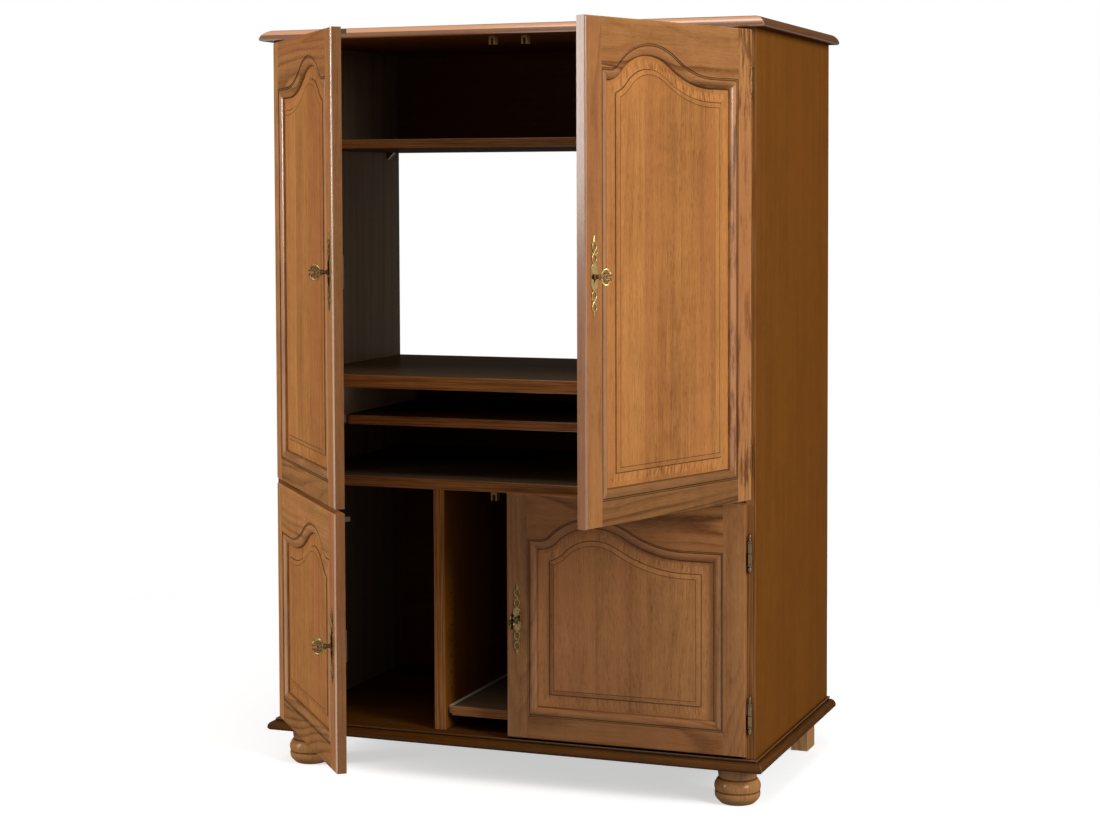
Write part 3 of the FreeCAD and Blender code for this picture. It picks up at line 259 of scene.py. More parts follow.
# Grain runs along one axis. A door's boards are measured from its hinge pin, turned as the door stands.
# Staves are glued boards of that width, a lip is a lighter edging in front of that depth, a lining is the
# inside face at that distance from the middle, and a flame is the streaked figure of a hinge stile.
def oak(name, look, along, pin=(0, 0, 0), turn=0.0, seed=0.0, stave=0.0, lip=None, lipShade=1.0,
        lining=None, shade=1.0, tint=(1, 1, 1), figure=1.0, flame=0.0):
    look = oakLooks[look]
    light, dark, warm = [dimmed(look[part], shade, tint) for part in ("light", "dark", "warm")]
    paint = Paint(name, Coat_IOR=oakCoat["ior"], Coat_Roughness=oakCoat["roughness"], Specular_IOR_Level=0.0)
    local = paint.node("ShaderNodeMapping", {"vector_type": "TEXTURE"},
                       {"Vector": paint.place(), "Location": pin, "Rotation": (0, 0, turn)})
    axes = [paint.node("ShaderNodeSeparateXYZ", None, {0: local}, axis) for axis in range(3)]
    across, depth, length = [axes[axis] for axis in grainOrder[along]]
    if stave:
        chance = paint.node("ShaderNodeTexWhiteNoise", {"noise_dimensions": "1D"},
                            {"W": paint.math("FLOOR", across / stave + seed)})
        length = length + chance * staveShift["along"]
        across = across + chance * staveShift["across"]
    length = length + seed * seedShift["length"]
    grain = paint.node("ShaderNodeCombineXYZ", None, {0: across + seed, 1: depth, 2: length})

    def wave(kind):
        return paint.noise(grain, *grainNoise[kind])

    def marks(kind):
        return paint.step(wave(kind), *grainMarks[kind])

    early = earlyWood(paint, wave, across, depth, seed, look["spacing"])
    strong = marks("strong")  # the figure fades in and out
    fleck = marks("fleck")
    pores = marks("pores") * atLeast(poreShares["late"], early) * atLeast(poreShares["plain"], strong)
    clouds = {kind: wave(kind) for kind in ("broad", "fibre", "cloud", "ripple")}
    stain = stainShares["plain"] + early * atLeast(stainShares["faint"], strong) * look["figure"] * figure
    for kind, texture in clouds.items():
        stain = stain + (texture - 0.5) * stainShares[kind]
    stain = stain + (fleck - marks("ray") * stainShares["ray"]) * look["fleck"]
    fromPin = paint.math("ABSOLUTE", axes[0])
    if flame:
        streak = marks("streak") - stainShares["streak"]
        stain = stain + streak * (1 - paint.step(fromPin, *flameReach)) * flame
    if stave:
        dash = (wave("dash") - 0.5) * stainShares["endGrain"] - stainShares["endLight"]
        stain = stain + (chance - 0.5) * stainShares["stave"] + paint.attribute("endGrain") * dash

    colour = paint.blend(paint.math("ADD", stain, clamp=True), light, dark)
    colour = paint.blend(marks("hue") * stainShares["warm"], colour, warm)
    if lining is not None:
        colour = faced(paint, colour, "lining", fromPin, lining, clouds["broad"])
    if lip is not None:
        colour = faced(paint, colour, "lipping", axes[1], lip, clouds["fibre"], lipShade)
    colour = paint.blend(pores * look["pore"], colour, dimmed(dark, stainAndPaintedLight["pores"]))
    # a painted highlight: a lighter colour on the faces marked for it
    colour = paint.blend(paint.attribute("paintedHighlight"), colour, dimmed(light, stainAndPaintedLight["paintedHighlight"]))
    # dark stain and painted shade in hollows and on marked edges
    recess = paint.attribute("recess") * stainAndPaintedLight["recessShare"]
    paint.feed("Base Color", paint.blend(recess, colour, dimmed(dark, stainAndPaintedLight["recess"])))
    paint.feed("Coat Weight", look["sheen"] + paint.attribute("polish") * oakCoat["polish"])
    rough = oakRoughness["plain"] + pores * oakRoughness["pores"]
    for kind in ("fibre", "cloud"):
        rough = rough + (clouds[kind] - 0.5) * oakRoughness[kind]
    paint.feed("Roughness", rough)
    relief = clouds["fibre"] * oakRelief["fibre"] + clouds["broad"] * oakRelief["broad"]
    paint.bump(relief - pores * oakRelief["pores"] - fleck * oakRelief["fleck"], oakRelief["height"])
    return paint.material


# metals, enamel and plastic

# noise as in the wood, the share of patina on a face that isn't hollow, and what makes it dull and uneven
metalWear = {"patina": ((240, 240, 240), 4, 0.65), "scratch": ((900, 900, 120),),
             "spread": (0.42, 0.72), "share": 0.45, "edge": 2.0, "patinaDull": 0.2, "scratchDull": 0.12,
             "patinaRelief": 0.4, "scratchRelief": 0.3, "height": 0.00008}
enamelWear = {"speck": ((1000, 1000, 1000), 3, 0.6), "cloud": ((9, 9, 9),), "spread": (0.38, 0.68),
              "share": 0.4, "shade": 0.84, "gloss": 0.15, "speckDull": 0.15, "height": 0.00006}


def metal(name, bright, worn, roughness):
    paint = Paint(name, Metallic=1.0, Specular_Tint=dimmed(worn, metalWear["edge"]))
    place = paint.place()
    patina = paint.step(paint.noise(place, *metalWear["patina"]), *metalWear["spread"])
    scratch = paint.noise(place, *metalWear["scratch"])
    # hollows, and the sides of brass work, take patina and painted shade
    dark = paint.math("MAXIMUM", patina * metalWear["share"], paint.attribute("recess"))
    paint.feed("Base Color", paint.blend(dark, bright, worn))
    dull = dark * metalWear["patinaDull"]
    paint.feed("Roughness", roughness + dull + (scratch - 0.5) * metalWear["scratchDull"])
    relief = scratch * metalWear["scratchRelief"] + patina * metalWear["patinaRelief"]
    paint.bump(relief, metalWear["height"])
    return paint.material


def coated(name, colour, roughness):
    paint = Paint(name, Specular_IOR_Level=enamelWear["gloss"])
    place = paint.place()
    speck = paint.noise(place, *enamelWear["speck"])
    cloud = paint.noise(place, *enamelWear["cloud"])
    mixed = cloud * (1 - enamelWear["share"]) + speck * enamelWear["share"]
    amount = paint.step(mixed, *enamelWear["spread"])
    paint.feed("Base Color", paint.blend(amount, colour, dimmed(colour, enamelWear["shade"])))
    paint.feed("Roughness", roughness + (speck - 0.5) * enamelWear["speckDull"])
    paint.bump(speck, enamelWear["height"])
    return paint.material


finishes = {
    "hinge_steel": metal("bronzedSteel", tone(104, 84, 62), tone(38, 28, 19), 0.30),
    "lock_steel": metal("dullSteel", tone(66, 56, 46), tone(40, 32, 25), 0.45),
    "runner_cream": coated("creamEnamel", tone(214, 204, 182), 0.38),
    "catch_plastic": coated("tanPlastic", tone(140, 112, 80), 0.46),
    "support_plastic": coated("brownPlastic", tone(92, 62, 38), 0.46),
}
print("plain finishes made:", len(finishes))


# pieces

def addObject(name, data):
    made = bpy.data.objects.new(name, data)
    bpy.context.scene.collection.objects.link(made)
    return made


def addPiece(name, mesh, body, paint, nodeName):
    piece = addObject(name, mesh)
    mesh.materials.clear()
    mesh.materials.append(paint)
    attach(piece, body)
    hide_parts(nodeName)
    even = piece.modifiers.new("evenShading", "WEIGHTED_NORMAL")
    even.keep_sharp = True


def smoothMesh(name, work, sharpAngle=52.0):
    mesh = bpy.data.meshes.new(name)
    work.to_mesh(mesh)
    work.free()
    mesh.polygons.foreach_set("use_smooth", [True] * len(mesh.polygons))
    mesh.set_sharp_from_angle(angle=math.radians(sharpAngle))
    return mesh


def steepEdges(work, least, hollow):
    chosen = []
    for edge in work.edges:
        if edge.is_manifold:
            angle = math.degrees(edge.calc_face_angle_signed())
            if (angle < -least) if hollow else (angle > least):
                chosen.append(edge)
    return chosen


def bevelEdges(work, edges, offset):
    return bmesh.ops.bevel(work, geom=edges, offset=offset, offset_type="OFFSET", affect="EDGES",
                           segments=2, profile=0.5, material=-1, clamp_overlap=True)["faces"]


def faceMarks(work):  # what each face carries: dark stain with painted shade, and its shine
    return [work.faces.layers.float[layer] for layer in ("recess", "polish")]


easing = {"weld": 2e-6, "flatAngle": 0.6, "hollowAngle": 14.0, "cornerAngle": 26.0}  # metres and degrees


# A solid from the frame with its corners eased by sanding. Its hollow corners are marked for dark stain and
# painted shade.
def eased(nodeName, paint, ease, hollow=0.0006, shape=None, finish=None, gloss=0.15):
    node = nodes[nodeName]
    work = bmesh.new()
    work.from_mesh(node.data)
    bmesh.ops.remove_doubles(work, verts=work.verts, dist=easing["weld"])
    bmesh.ops.dissolve_limit(work, angle_limit=math.radians(easing["flatAngle"]), verts=work.verts,
                             edges=work.edges, use_dissolve_boundaries=False, delimit=set())
    for layer in ("recess", "polish"):
        work.faces.layers.float.new(layer)
    if shape:
        shape(work)
    recess, polish = faceMarks(work)
    for face in bevelEdges(work, steepEdges(work, easing["hollowAngle"], True), hollow):
        face[recess] = 1.0
    for face in bevelEdges(work, steepEdges(work, easing["cornerAngle"], False), ease):
        face[polish] = gloss
    if finish:
        finish(work)
    mesh = smoothMesh(nodeName, work)
    addPiece(nodeName + "_eased", mesh, node["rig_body"], paint, nodeName)


# the stretch of the crown's round that catches the light, by its slope, its polish, and the share of a
# painted highlight that lightens its colour
crownShine = {"low": 0.60, "high": 0.92, "polish": 0.7, "paintedHighlight": 0.7}


# more coat and a painted highlight on the part of the crown's round that faces the light
def polishRound(work):
    paintedHighlight = work.faces.layers.float.new("paintedHighlight")
    polish = work.faces.layers.float["polish"]
    for face in work.faces:
        if crownShine["low"] < face.normal.z < crownShine["high"]:
            face[polish] = crownShine["polish"]
            face[paintedHighlight] = crownShine["paintedHighlight"]


# each board's grain and, where it isn't the usual, its look, corner polish, finish and front shade
carcass = {
    "left_side_panel": {"along": "z", "lipShade": 0.8},
    "right_side_panel": {"along": "z", "lipShade": 0.8},
    "centre_partition": {"along": "z", "look": "oak_side"},
    "rear_feet": {"along": "z"},
    "upper_back_panel": {"along": "x"},
    "lower_back_panel": {"along": "x"},
    "crown_side_edgings": {"along": "y", "look": "crown_side"},
    "base_side_edgings": {"along": "y", "look": "base_edging", "gloss": 1.2},
    "crown_front_edging": {"along": "x", "gloss": 1.2, "finish": polishRound},
    "base_front_edging": {"along": "x", "look": "base_edging", "gloss": 1.2},
    "crown_board": {"along": "x"},
    "base_board": {"along": "x", "look": "base_edging"},
    "top_shelf": {"along": "x", "lipShade": 0.55},
    # the worktop's front lip is lightened: painted light
    "worktop": {"along": "x", "lipShade": 1.35},
    "middle_shelf": {"along": "x"},
    "keyboard_tray": {"along": "x"},
    "printer_tray": {"along": "x"},
}
carcassEase = {"corner": 0.0012, "hollow": 0.0008, "gloss": 0.5, "lip": 0.003}  # the lip is that deep
for index, (nodeName, board) in enumerate(carcass.items()):
    slot = slotOf[nodeName]
    lip = lining = None
    corners = [corner.co for corner in nodes[nodeName].data.vertices]
    if slot in ("oak_inside", "oak_side"):
        lip = min(corner.y for corner in corners) + carcassEase["lip"]
    if slot == "oak_side":
        lining = min(abs(corner.x) for corner in corners)
    paint = oak(nodeName + "_oak", board.get("look", slot), board["along"], seed=boardSeed("carcass", index),
                lip=lip, lipShade=board.get("lipShade", 1.0), lining=lining)
    eased(nodeName, paint, carcassEase["corner"], carcassEase["hollow"], finish=board.get("finish"),
          gloss=board.get("gloss", carcassEase["gloss"]))
print("carcass dressed:", len(carcass))

# the hand and angle of each door, its free edge's painted shade and polish, its wood, and its brass's painted
# shade
doors = {
    "upper_left": {"hand": 1, "opening": 50.0, "edgeShade": 0.55, "edgePolish": 0.0, "rimPolish": 1.8,
                   "gloss": 0.60, "flame": 0.25, "figure": 0.55, "ends": 0.5, "brass": 0.45},
    "upper_right": {"hand": -1, "opening": 70.0, "edgeShade": 0.0, "edgePolish": 0.20, "rimPolish": 0.8,
                    "gloss": 0.35, "flame": 0.85, "figure": 1.0, "ends": 1.0, "brass": 1.0},
    "lower_left": {"hand": 1, "opening": 50.0, "edgeShade": 0.55, "edgePolish": 0.0, "rimPolish": 1.4,
                   "gloss": 0.50, "flame": 0.25, "figure": 0.55, "ends": 0.6, "brass": 0.50},
    "lower_right": {"hand": -1, "opening": 0.0, "edgeShade": 0.0, "edgePolish": 0.0, "rimPolish": 0.2,
                    "gloss": 0.06, "flame": 0.10, "figure": 0.8, "ends": 0.45, "brass": 0.40,
                    "tint": (0.98, 1.04, 1.22)},
}
hingeAxis = (0.495, -0.576)
doorEase = {"corner": 0.0004, "hollow": 0.0010}
# levels on the door's normal, widths and depths in metres, and slopes as the share that faces the front
moulding = {"quirk": 0.0075, "foot": 0.0025, "swell": 0.0030, "lap": 0.0012, "cuts": 7, "rim": 0.488,
            "rimEdge": 0.99, "rimFront": 0.1, "slope": (0.90, 0.99), "forward": 0.3, "quirkStainAndShade": 0.35,
            "footStainAndShade": 0.60, "railGloss": 0.05}
raising = {"border": 0.0004, "step": 0.0024, "field": 0.0064, "slope": (0.9, 0.998), "steepest": 0.11,
           "grooveWidth": 0.0007, "grooveDepth": 0.0006, "grooveStainAndShade": 0.85, "stepStainAndShade": 0.7}


def doorFrame(stand):
    pin = Vector((-stand["hand"] * hingeAxis[0], hingeAxis[1], 0.0))
    turn = Matrix.Rotation(math.radians(-stand["hand"] * stand["opening"]), 4, "Z")
    return Matrix.Translation(pin) @ turn  # door x runs along the door, -y is its front


# Measures corners and faces against their door: the level on its normal, and how far a face looks forward.
class DoorGauge:
    slack = 0.0002

    def __init__(self, placement, stand):
        self.stand = stand
        self.inverse = placement.inverted()
        self.outward = placement.to_3x3() @ Vector((0, -1, 0))
        self.free = placement.to_3x3() @ Vector((stand["hand"], 0, 0))

    def level(self, corner):
        return -(self.inverse @ corner.co).y

    def facing(self, face):
        return face.normal.dot(self.outward)

    def at(self, element, level):
        return all(abs(self.level(corner) - level) < self.slack for corner in element.verts)

    def between(self, element, low, high):
        return all(low - self.slack < self.level(corner) < high + self.slack for corner in element.verts)


# The flat slope of the moulding is made anew as a bead, bridged between its upper and lower lines.
def stuckBead(gauge, gloss):
    high, low = moulding["quirk"], moulding["foot"]
    least, most = moulding["slope"]

    def onLine(edge):
        return gauge.at(edge, high) or gauge.at(edge, low)

    def shape(work):
        waiting = {face for face in work.faces
                   if gauge.between(face, low, high) and least < gauge.facing(face) < most}
        while waiting:
            island, front = set(), [waiting.pop()]
            while front:
                face = front.pop()
                island.add(face)
                near = {other for edge in face.edges for other in edge.link_faces} & waiting
                waiting -= near
                front.extend(near)
            rim = {edge for face in island for edge in face.edges
                   if not all(other in island for other in edge.link_faces)}
            lines = [edge for edge in rim if onLine(edge)]
            bmesh.ops.delete(work, geom=list(island), context="FACES_KEEP_BOUNDARY")
            made = bmesh.ops.bridge_loops(work, edges=[edge for edge in lines if edge.is_valid])
            slopes = [edge for edge in made["edges"] if not onLine(edge)]
            strips = bmesh.ops.subdivide_edges(work, edges=slopes, cuts=moulding["cuts"])
            for corner in {part for part in strips["geom_inner"] if isinstance(part, bmesh.types.BMVert)}:
                share = (gauge.level(corner) - low) / (high - low)
                corner.co += gauge.outward * (moulding["swell"] * 4 * share * (1 - share))
        work.normal_update()
        bead = {face for face in work.faces if gauge.between(face, low, high + moulding["lap"])}
        forward = moulding["forward"]
        bmesh.ops.reverse_faces(work, faces=[face for face in bead if gauge.facing(face) < -forward])
        recess, polish = faceMarks(work)
        # dark stain and painted shade in the quirk and at the foot of the bead
        for face in work.faces:
            if gauge.at(face, high):
                face[recess] = moulding["quirkStainAndShade"]
            elif gauge.facing(face) > forward and any(gauge.at(edge, low) for edge in face.edges):
                face[recess] = moulding["footStainAndShade"]
            elif face in bead:
                face[polish] = gloss
        polishRim(work, gauge)

    return shape


# The rounded front corner of a door's free edge is polished, and the edge has its own painted shade and
# polish.
def polishRim(work, gauge):
    recess, polish = faceMarks(work)
    for face in work.faces:
        if abs((gauge.inverse @ face.calc_center_median()).x) > moulding["rim"]:
            if face.normal.dot(gauge.free) > moulding["rimEdge"]:
                face[recess] = gauge.stand["edgeShade"]
                face[polish] = gauge.stand["edgePolish"]
            elif gauge.facing(face) > moulding["rimFront"]:
                face[polish] = gauge.stand["rimPolish"]


# A fine groove round a panel's field, dark stain and painted shade in the groove and at its step, and end
# grain where its border runs across.
def raisedField(gauge):
    least, most = raising["slope"]

    def finish(work):
        ends = work.faces.layers.float.new("endGrain")
        recess = work.faces.layers.float["recess"]
        flats = [face for face in work.faces if gauge.at(face, raising["field"])]
        field = max(flats, key=bmesh.types.BMFace.calc_area)
        for sink in (-raising["grooveDepth"], raising["grooveDepth"]):
            ring = bmesh.ops.inset_region(work, faces=[field], thickness=raising["grooveWidth"], depth=sink,
                                          use_even_offset=True)
            for face in ring["faces"]:
                face[recess] = raising["grooveStainAndShade"]
        for face in work.faces:
            facing = gauge.facing(face)
            if gauge.at(face, raising["step"]) and facing > least:
                face[recess] = raising["stepStainAndShade"]
            elif gauge.between(face, raising["border"], raising["step"]) and least < facing < most:
                face[ends] = min(1.0, abs(face.normal.z) / raising["steepest"]) * gauge.stand["ends"]

    return finish


boardTones = {  # boards that are darker than the rest
    "upper_left_top_rail": 0.88, "upper_left_bottom_rail": 0.80, "upper_right_stiles": 0.86,
    "upper_right_top_rail": 0.86, "upper_right_bottom_rail": 0.58, "lower_left_bottom_rail": 0.82,
    "lower_right_stiles": 0.76, "lower_right_top_rail": 0.86, "lower_right_bottom_rail": 0.78,
}
members = {"stiles": ("oak_frame", "z"), "top_rail": ("oak_rail", "x"), "bottom_rail": ("oak_rail", "x")}
memberSeed = 0.37  # for each letter of a member's name
staveWidth = 0.105
for index, (door, stand) in enumerate(doors.items()):
    placement = doorFrame(stand)
    gauge = DoorGauge(placement, stand)
    pin, turn = placement.to_translation(), placement.to_euler().z
    for member, (look, along) in members.items():
        board = door + "_" + member
        upright = along == "z"
        seed = boardSeed("door", index) + len(member) * memberSeed
        paint = oak(board + "_oak", look, along, pin, turn, seed, shade=boardTones.get(board, 1.0),
                    figure=stand["figure"], flame=stand["flame"] if upright else 0.0)
        bead = stuckBead(gauge, stand["gloss"] if upright else moulding["railGloss"])
        eased(board, paint, doorEase["corner"], doorEase["hollow"], shape=bead)
    paint = oak(door + "_panel_oak", "oak_panel", "z", pin, turn, boardSeed("panel", index), staveWidth,
                tint=stand.get("tint", (1, 1, 1)))
    eased(door + "_panel", paint, doorEase["corner"], doorEase["hollow"], finish=raisedField(gauge))
print("doors dressed:", len(doors))


# turned work

# Spins a profile of (radius, height) points in millimetres about the upright axis.
def turned(profile, steps=48):
    work = bmesh.new()
    corners = [work.verts.new((radius / 1000, 0, height / 1000)) for radius, height in profile]
    edges = [work.edges.new(pair) for pair in zip(corners, corners[1:])]
    bmesh.ops.spin(work, geom=corners + edges, axis=(0, 0, 1), cent=(0, 0, 0), angle=math.tau, steps=steps,
                   use_merge=True)
    bmesh.ops.remove_doubles(work, verts=work.verts, dist=1e-6)
    bmesh.ops.recalc_face_normals(work, faces=work.faces)
    return work


# Points of a round stretch of a profile, from one point to another, with an outward swell in millimetres.
def swelling(start, stop, swell, count=8):
    points = []
    for step in range(count + 1):
        share = step / count
        radius = start[0] + (stop[0] - start[0]) * share
        height = start[1] + (stop[1] - start[1]) * share
        points.append((radius + swell * math.sin(math.pi * share), height))
    return points


# Puts a shape into a larger one at a place of its own, and lets the shape go.
def setDown(target, part, placement):
    mesh = bpy.data.meshes.new("part")
    bmesh.ops.transform(part, matrix=placement, verts=part.verts)
    part.to_mesh(mesh)
    part.free()
    target.from_mesh(mesh)
    bpy.data.meshes.remove(mesh)


# places in metres, then the profile from the floor up in millimetres: a round has a start, a stop and a swell
foot = {
    "places": ((-0.4564, -0.5243), (0.4564, -0.5243)),
    "sole": [(0, 0), (31.5, 0), (33.0, 0.6)],
    "lowRound": ((34.0, 1.4), (43.6, 22.4), 4.0),
    "groove": [(41.8, 23.6), (41.8, 24.4)],
    "middleRound": ((43.6, 25.6), (38.5, 47.2), 3.4),
    "neck": [(35.2, 48.2), (35.2, 49.2)],
    "collar": ((36.6, 50.2), (37.0, 72.5), 1.2, 5),
    "top": [(36.0, 73.7), (0, 73.7)],
    "grooveShadeLevels": (24.0, 48.6), "grooveShadeReach": 1.5, "stain": 0.75, "steps": 72, "sharp": 40.0, "seed": 4.1,
}


# Three rounds with a groove between each two.
def addFeet():
    profile = [*foot["sole"], *swelling(*foot["lowRound"]), *foot["groove"], *swelling(*foot["middleRound"]),
               *foot["neck"], *swelling(*foot["collar"]), *foot["top"]]
    work = bmesh.new()
    recess = work.faces.layers.float.new("recess")
    for place in foot["places"]:
        setDown(work, turned(profile, foot["steps"]), Matrix.Translation((*place, 0)))
    # painted shade in the grooves between the rounds
    for face in work.faces:
        level = face.calc_center_median().z * 1000
        if any(abs(level - line) < foot["grooveShadeReach"] for line in foot["grooveShadeLevels"]):
            face[recess] = foot["stain"]
    addPiece("turnedFeet", smoothMesh("turnedFeet", work, foot["sharp"]), "carcass",
             oak("footOak", "turned_foot", "z", seed=foot["seed"]), "bun_feet")


addFeet()
print("feet turned")


def box(low, high):  # corners in millimetres
    work = bmesh.new()
    bmesh.ops.create_cube(work, size=1.0)
    size = [(stop - start) / 1000 for start, stop in zip(low, high)]
    middle = [(start + stop) / 2000 for start, stop in zip(low, high)]
    bmesh.ops.scale(work, verts=work.verts, vec=size)
    bmesh.ops.translate(work, verts=work.verts, vec=middle)
    return work


fittingSharp = 44.0  # degrees from which a fitting's edges stay sharp
# levels in metres, profiles of (radius, height) from the joint and leaves in millimetres
hinge = {
    "levels": {"upper": (0.672, 1.380), "lower": (0.181, 0.490)},
    "barrel": [(0, 0.3), (4.4, 0.3), (5.0, 0.9), (5.0, 19.6), (4.2, 20.2), (4.2, 20.9), (5.3, 21.5),
               (5.6, 22.6), (5.3, 23.7)],
    "spire": [(3.4, 24.4), (2.5, 25.4), (2.3, 27.0), (2.9, 30.0), (3.1, 32.4), (2.7, 34.6), (1.8, 36.4),
              (0, 38.0)],
    "acorn": [(3.2, 24.4), (2.6, 25.3), (3.3, 26.6), (4.2, 28.6), (4.4, 30.4), (4.0, 32.6), (2.9, 35.0),
              (1.4, 37.2), (0, 38.0)],
    "leafStart": 4, "doorLeaf": 18.9, "carcassLeaf": 17.9, "leafHalf": 1, "leafLevels": (2, 21),
}


def addHinges():
    posts = bmesh.new()
    flip = Matrix.Rotation(math.pi, 4, "X")
    start, half = hinge["leafStart"], hinge["leafHalf"]
    near, far = hinge["leafLevels"]
    for door, stand in doors.items():
        placement = doorFrame(stand)
        barrels = bmesh.new()
        reach = sorted((start * stand["hand"], hinge["doorLeaf"] * stand["hand"]))
        for level in hinge["levels"][door.split("_")[0]]:
            height = Matrix.Translation((0, 0, level))
            setDown(barrels, turned(hinge["barrel"] + hinge["spire"]), placement @ height)
            setDown(barrels, box((reach[0], -half, near), (reach[1], half, far)), placement @ height)
            upright = Matrix.Translation(placement.to_translation()) @ height
            setDown(posts, turned(hinge["barrel"] + hinge["acorn"]), upright @ flip)
            setDown(posts, box((-half, start, -far), (half, hinge["carcassLeaf"], -near)), upright)
        addPiece(door + "_hingeBarrels", smoothMesh("hingeBarrels", barrels, fittingSharp), door + "_door",
                 finishes["hinge_steel"], door + "_hinge_barrels")
    addPiece("hingePosts", smoothMesh("hingePosts", posts, fittingSharp), "carcass",
             finishes["hinge_steel"], "hinge_posts")


addHinges()
print("hinges turned")


# brass work, drawn flat in millimetres and then set on its door

# segments round each shape, and along a bend the degrees of a step and the fewest steps
brassRounds = {"bent": 10, "straight": 12, "ball": (16, 10), "stepAngle": 9, "leastSteps": 6}


# A bent rod: a small round swept about a centre from one angle to another, in degrees.
def bentRod(centre, radius, thickness, start, stop, tall=1.0, flat=1.0):
    work = bmesh.new()
    ring = bmesh.ops.create_circle(work, cap_ends=False, segments=brassRounds["bent"],
                                   radius=thickness / 1000)["verts"]
    stand = Matrix.Rotation(math.radians(start), 4, "Z") @ Matrix.Translation((radius / 1000, 0, 0))
    stand = stand @ Matrix.Rotation(math.pi / 2, 4, "X")
    bmesh.ops.transform(work, matrix=stand, verts=ring)
    sweep = stop - start
    steps = max(brassRounds["leastSteps"], int(abs(sweep) / brassRounds["stepAngle"]))
    bmesh.ops.spin(work, geom=work.verts[:] + work.edges[:], axis=(0, 0, 1), cent=(0, 0, 0),
                   angle=math.radians(sweep), steps=steps, use_merge=abs(sweep) >= 360)
    bmesh.ops.remove_doubles(work, verts=work.verts, dist=1e-7)
    bmesh.ops.holes_fill(work, edges=[edge for edge in work.edges if edge.is_boundary], sides=0)
    bmesh.ops.recalc_face_normals(work, faces=work.faces)
    bmesh.ops.scale(work, verts=work.verts, vec=(1.0, tall, flat))
    bmesh.ops.translate(work, verts=work.verts, vec=(centre[0] / 1000, centre[1] / 1000, 0))
    return work


# A tapering straight rod between two points.
def rod(start, stop, thick, thin):
    work = bmesh.new()
    run = Vector((stop[0] - start[0], stop[1] - start[1], 0)) / 1000
    bmesh.ops.create_cone(work, cap_ends=True, segments=brassRounds["straight"], radius1=thick / 1000,
                          radius2=thin / 1000, depth=run.length)
    middle = Vector((start[0] + stop[0], start[1] + stop[1], 0)) / 2000
    turn = run.to_track_quat("Z", "Y").to_matrix().to_4x4()
    bmesh.ops.transform(work, matrix=Matrix.Translation(middle) @ turn, verts=work.verts)
    return work


def ball(centre, radius, flat):
    work = bmesh.new()
    around, upwards = brassRounds["ball"]
    bmesh.ops.create_uvsphere(work, u_segments=around, v_segments=upwards, radius=radius / 1000)
    bmesh.ops.scale(work, verts=work.verts, vec=(1, 1, flat))
    bmesh.ops.translate(work, verts=work.verts, vec=(centre[0] / 1000, centre[1] / 1000, 0))
    return work


# Patina and painted shade darken the sides of a shape, and less of them stays on its flat faces.
def patinaAndShade(part, most, worn):
    layer = part.faces.layers.float.new("recess")
    part.normal_update()
    for face in part.faces:
        face[layer] = max(0.0, min(1.0, most - worn * abs(face.normal.z)))
    return part


keyPlace = {"levels": {"upper": 1.0275, "lower": 0.337}, "backset": 0.4695, "front": 0.009}  # metres
escutcheon = {
    "plate": [(0, 25.0), (4.2, 23.0), (6.6, 20.0), (8.6, 15.5), (8.6, -15.5), (6.6, -20.0), (4.2, -23.0),
              (0, -25.0)],  # the right half of its outline
    "keyhole": [(0, 3.7), (2.6, 2.6), (3.7, 0), (2.0, -3.1), (1.6, -9.0)],
    "thickness": 1.5, "rounding": 0.7, "wire": 1.35, "lift": 0.9,
    "rimAngle": 1.0, "rimLevel": 0.8,  # radians, and a share of the thickness
    "platePatinaAndShade": (0.7, 0.8), "scrollPatinaAndShade": (1.0, 1.2),  # most patina and painted shade, and how much less of it the flat faces keep
    "rings": {"spacing": (31.5, 52.5), "radius": 5.7, "tall": 1.18, "flat": 0.8},
    "cross": {"aside": 4.2, "start": 5.4},
    "curl": {"aside": 4.6, "radius": 2.7, "wire": 0.9, "sweep": 250, "tall": 1.1, "flat": 0.9},
    "eye": {"aside": 4.4, "start": 7.2, "radius": 2.0, "wire": 0.8, "flat": 0.9},
    "knobs": {"middle": 2.2, "end": 2.0, "start": 8.2, "flat": 0.7},
    "leaf": {"start": 8.4, "tip": 72.4, "thick": 3.6, "thin": 0.2, "flat": 0.32},
}


# The keyhole plate: its outline and the keyhole are bridged, thickened and rounded.
def keyholePlate():
    work = bmesh.new()
    thickness, rounding = escutcheon["thickness"] / 1000, escutcheon["rounding"] / 1000
    for half in (escutcheon["plate"], escutcheon["keyhole"]):
        outline = half + [(-x, y) for x, y in reversed(half) if x > 0]
        corners = [work.verts.new((x / 1000, y / 1000, 0)) for x, y in outline]
        for pair in zip(corners, corners[1:] + corners[:1]):
            work.edges.new(pair)
    bmesh.ops.bridge_loops(work, edges=work.edges)
    bmesh.ops.recalc_face_normals(work, faces=work.faces)
    if work.faces[:][0].normal.z < 0:
        bmesh.ops.reverse_faces(work, faces=work.faces)
    bmesh.ops.solidify(work, geom=work.faces[:], thickness=thickness)
    low = min(corner.co.z for corner in work.verts)
    bmesh.ops.translate(work, verts=work.verts, vec=(0, 0, -low))
    rim = [edge for edge in work.edges if edge.is_manifold and edge.calc_face_angle() > escutcheon["rimAngle"]
           and all(corner.co.z > thickness * escutcheon["rimLevel"] for corner in edge.verts)]
    bmesh.ops.bevel(work, geom=rim, offset=rounding, affect="EDGES", segments=3, profile=0.5, material=-1)
    return work


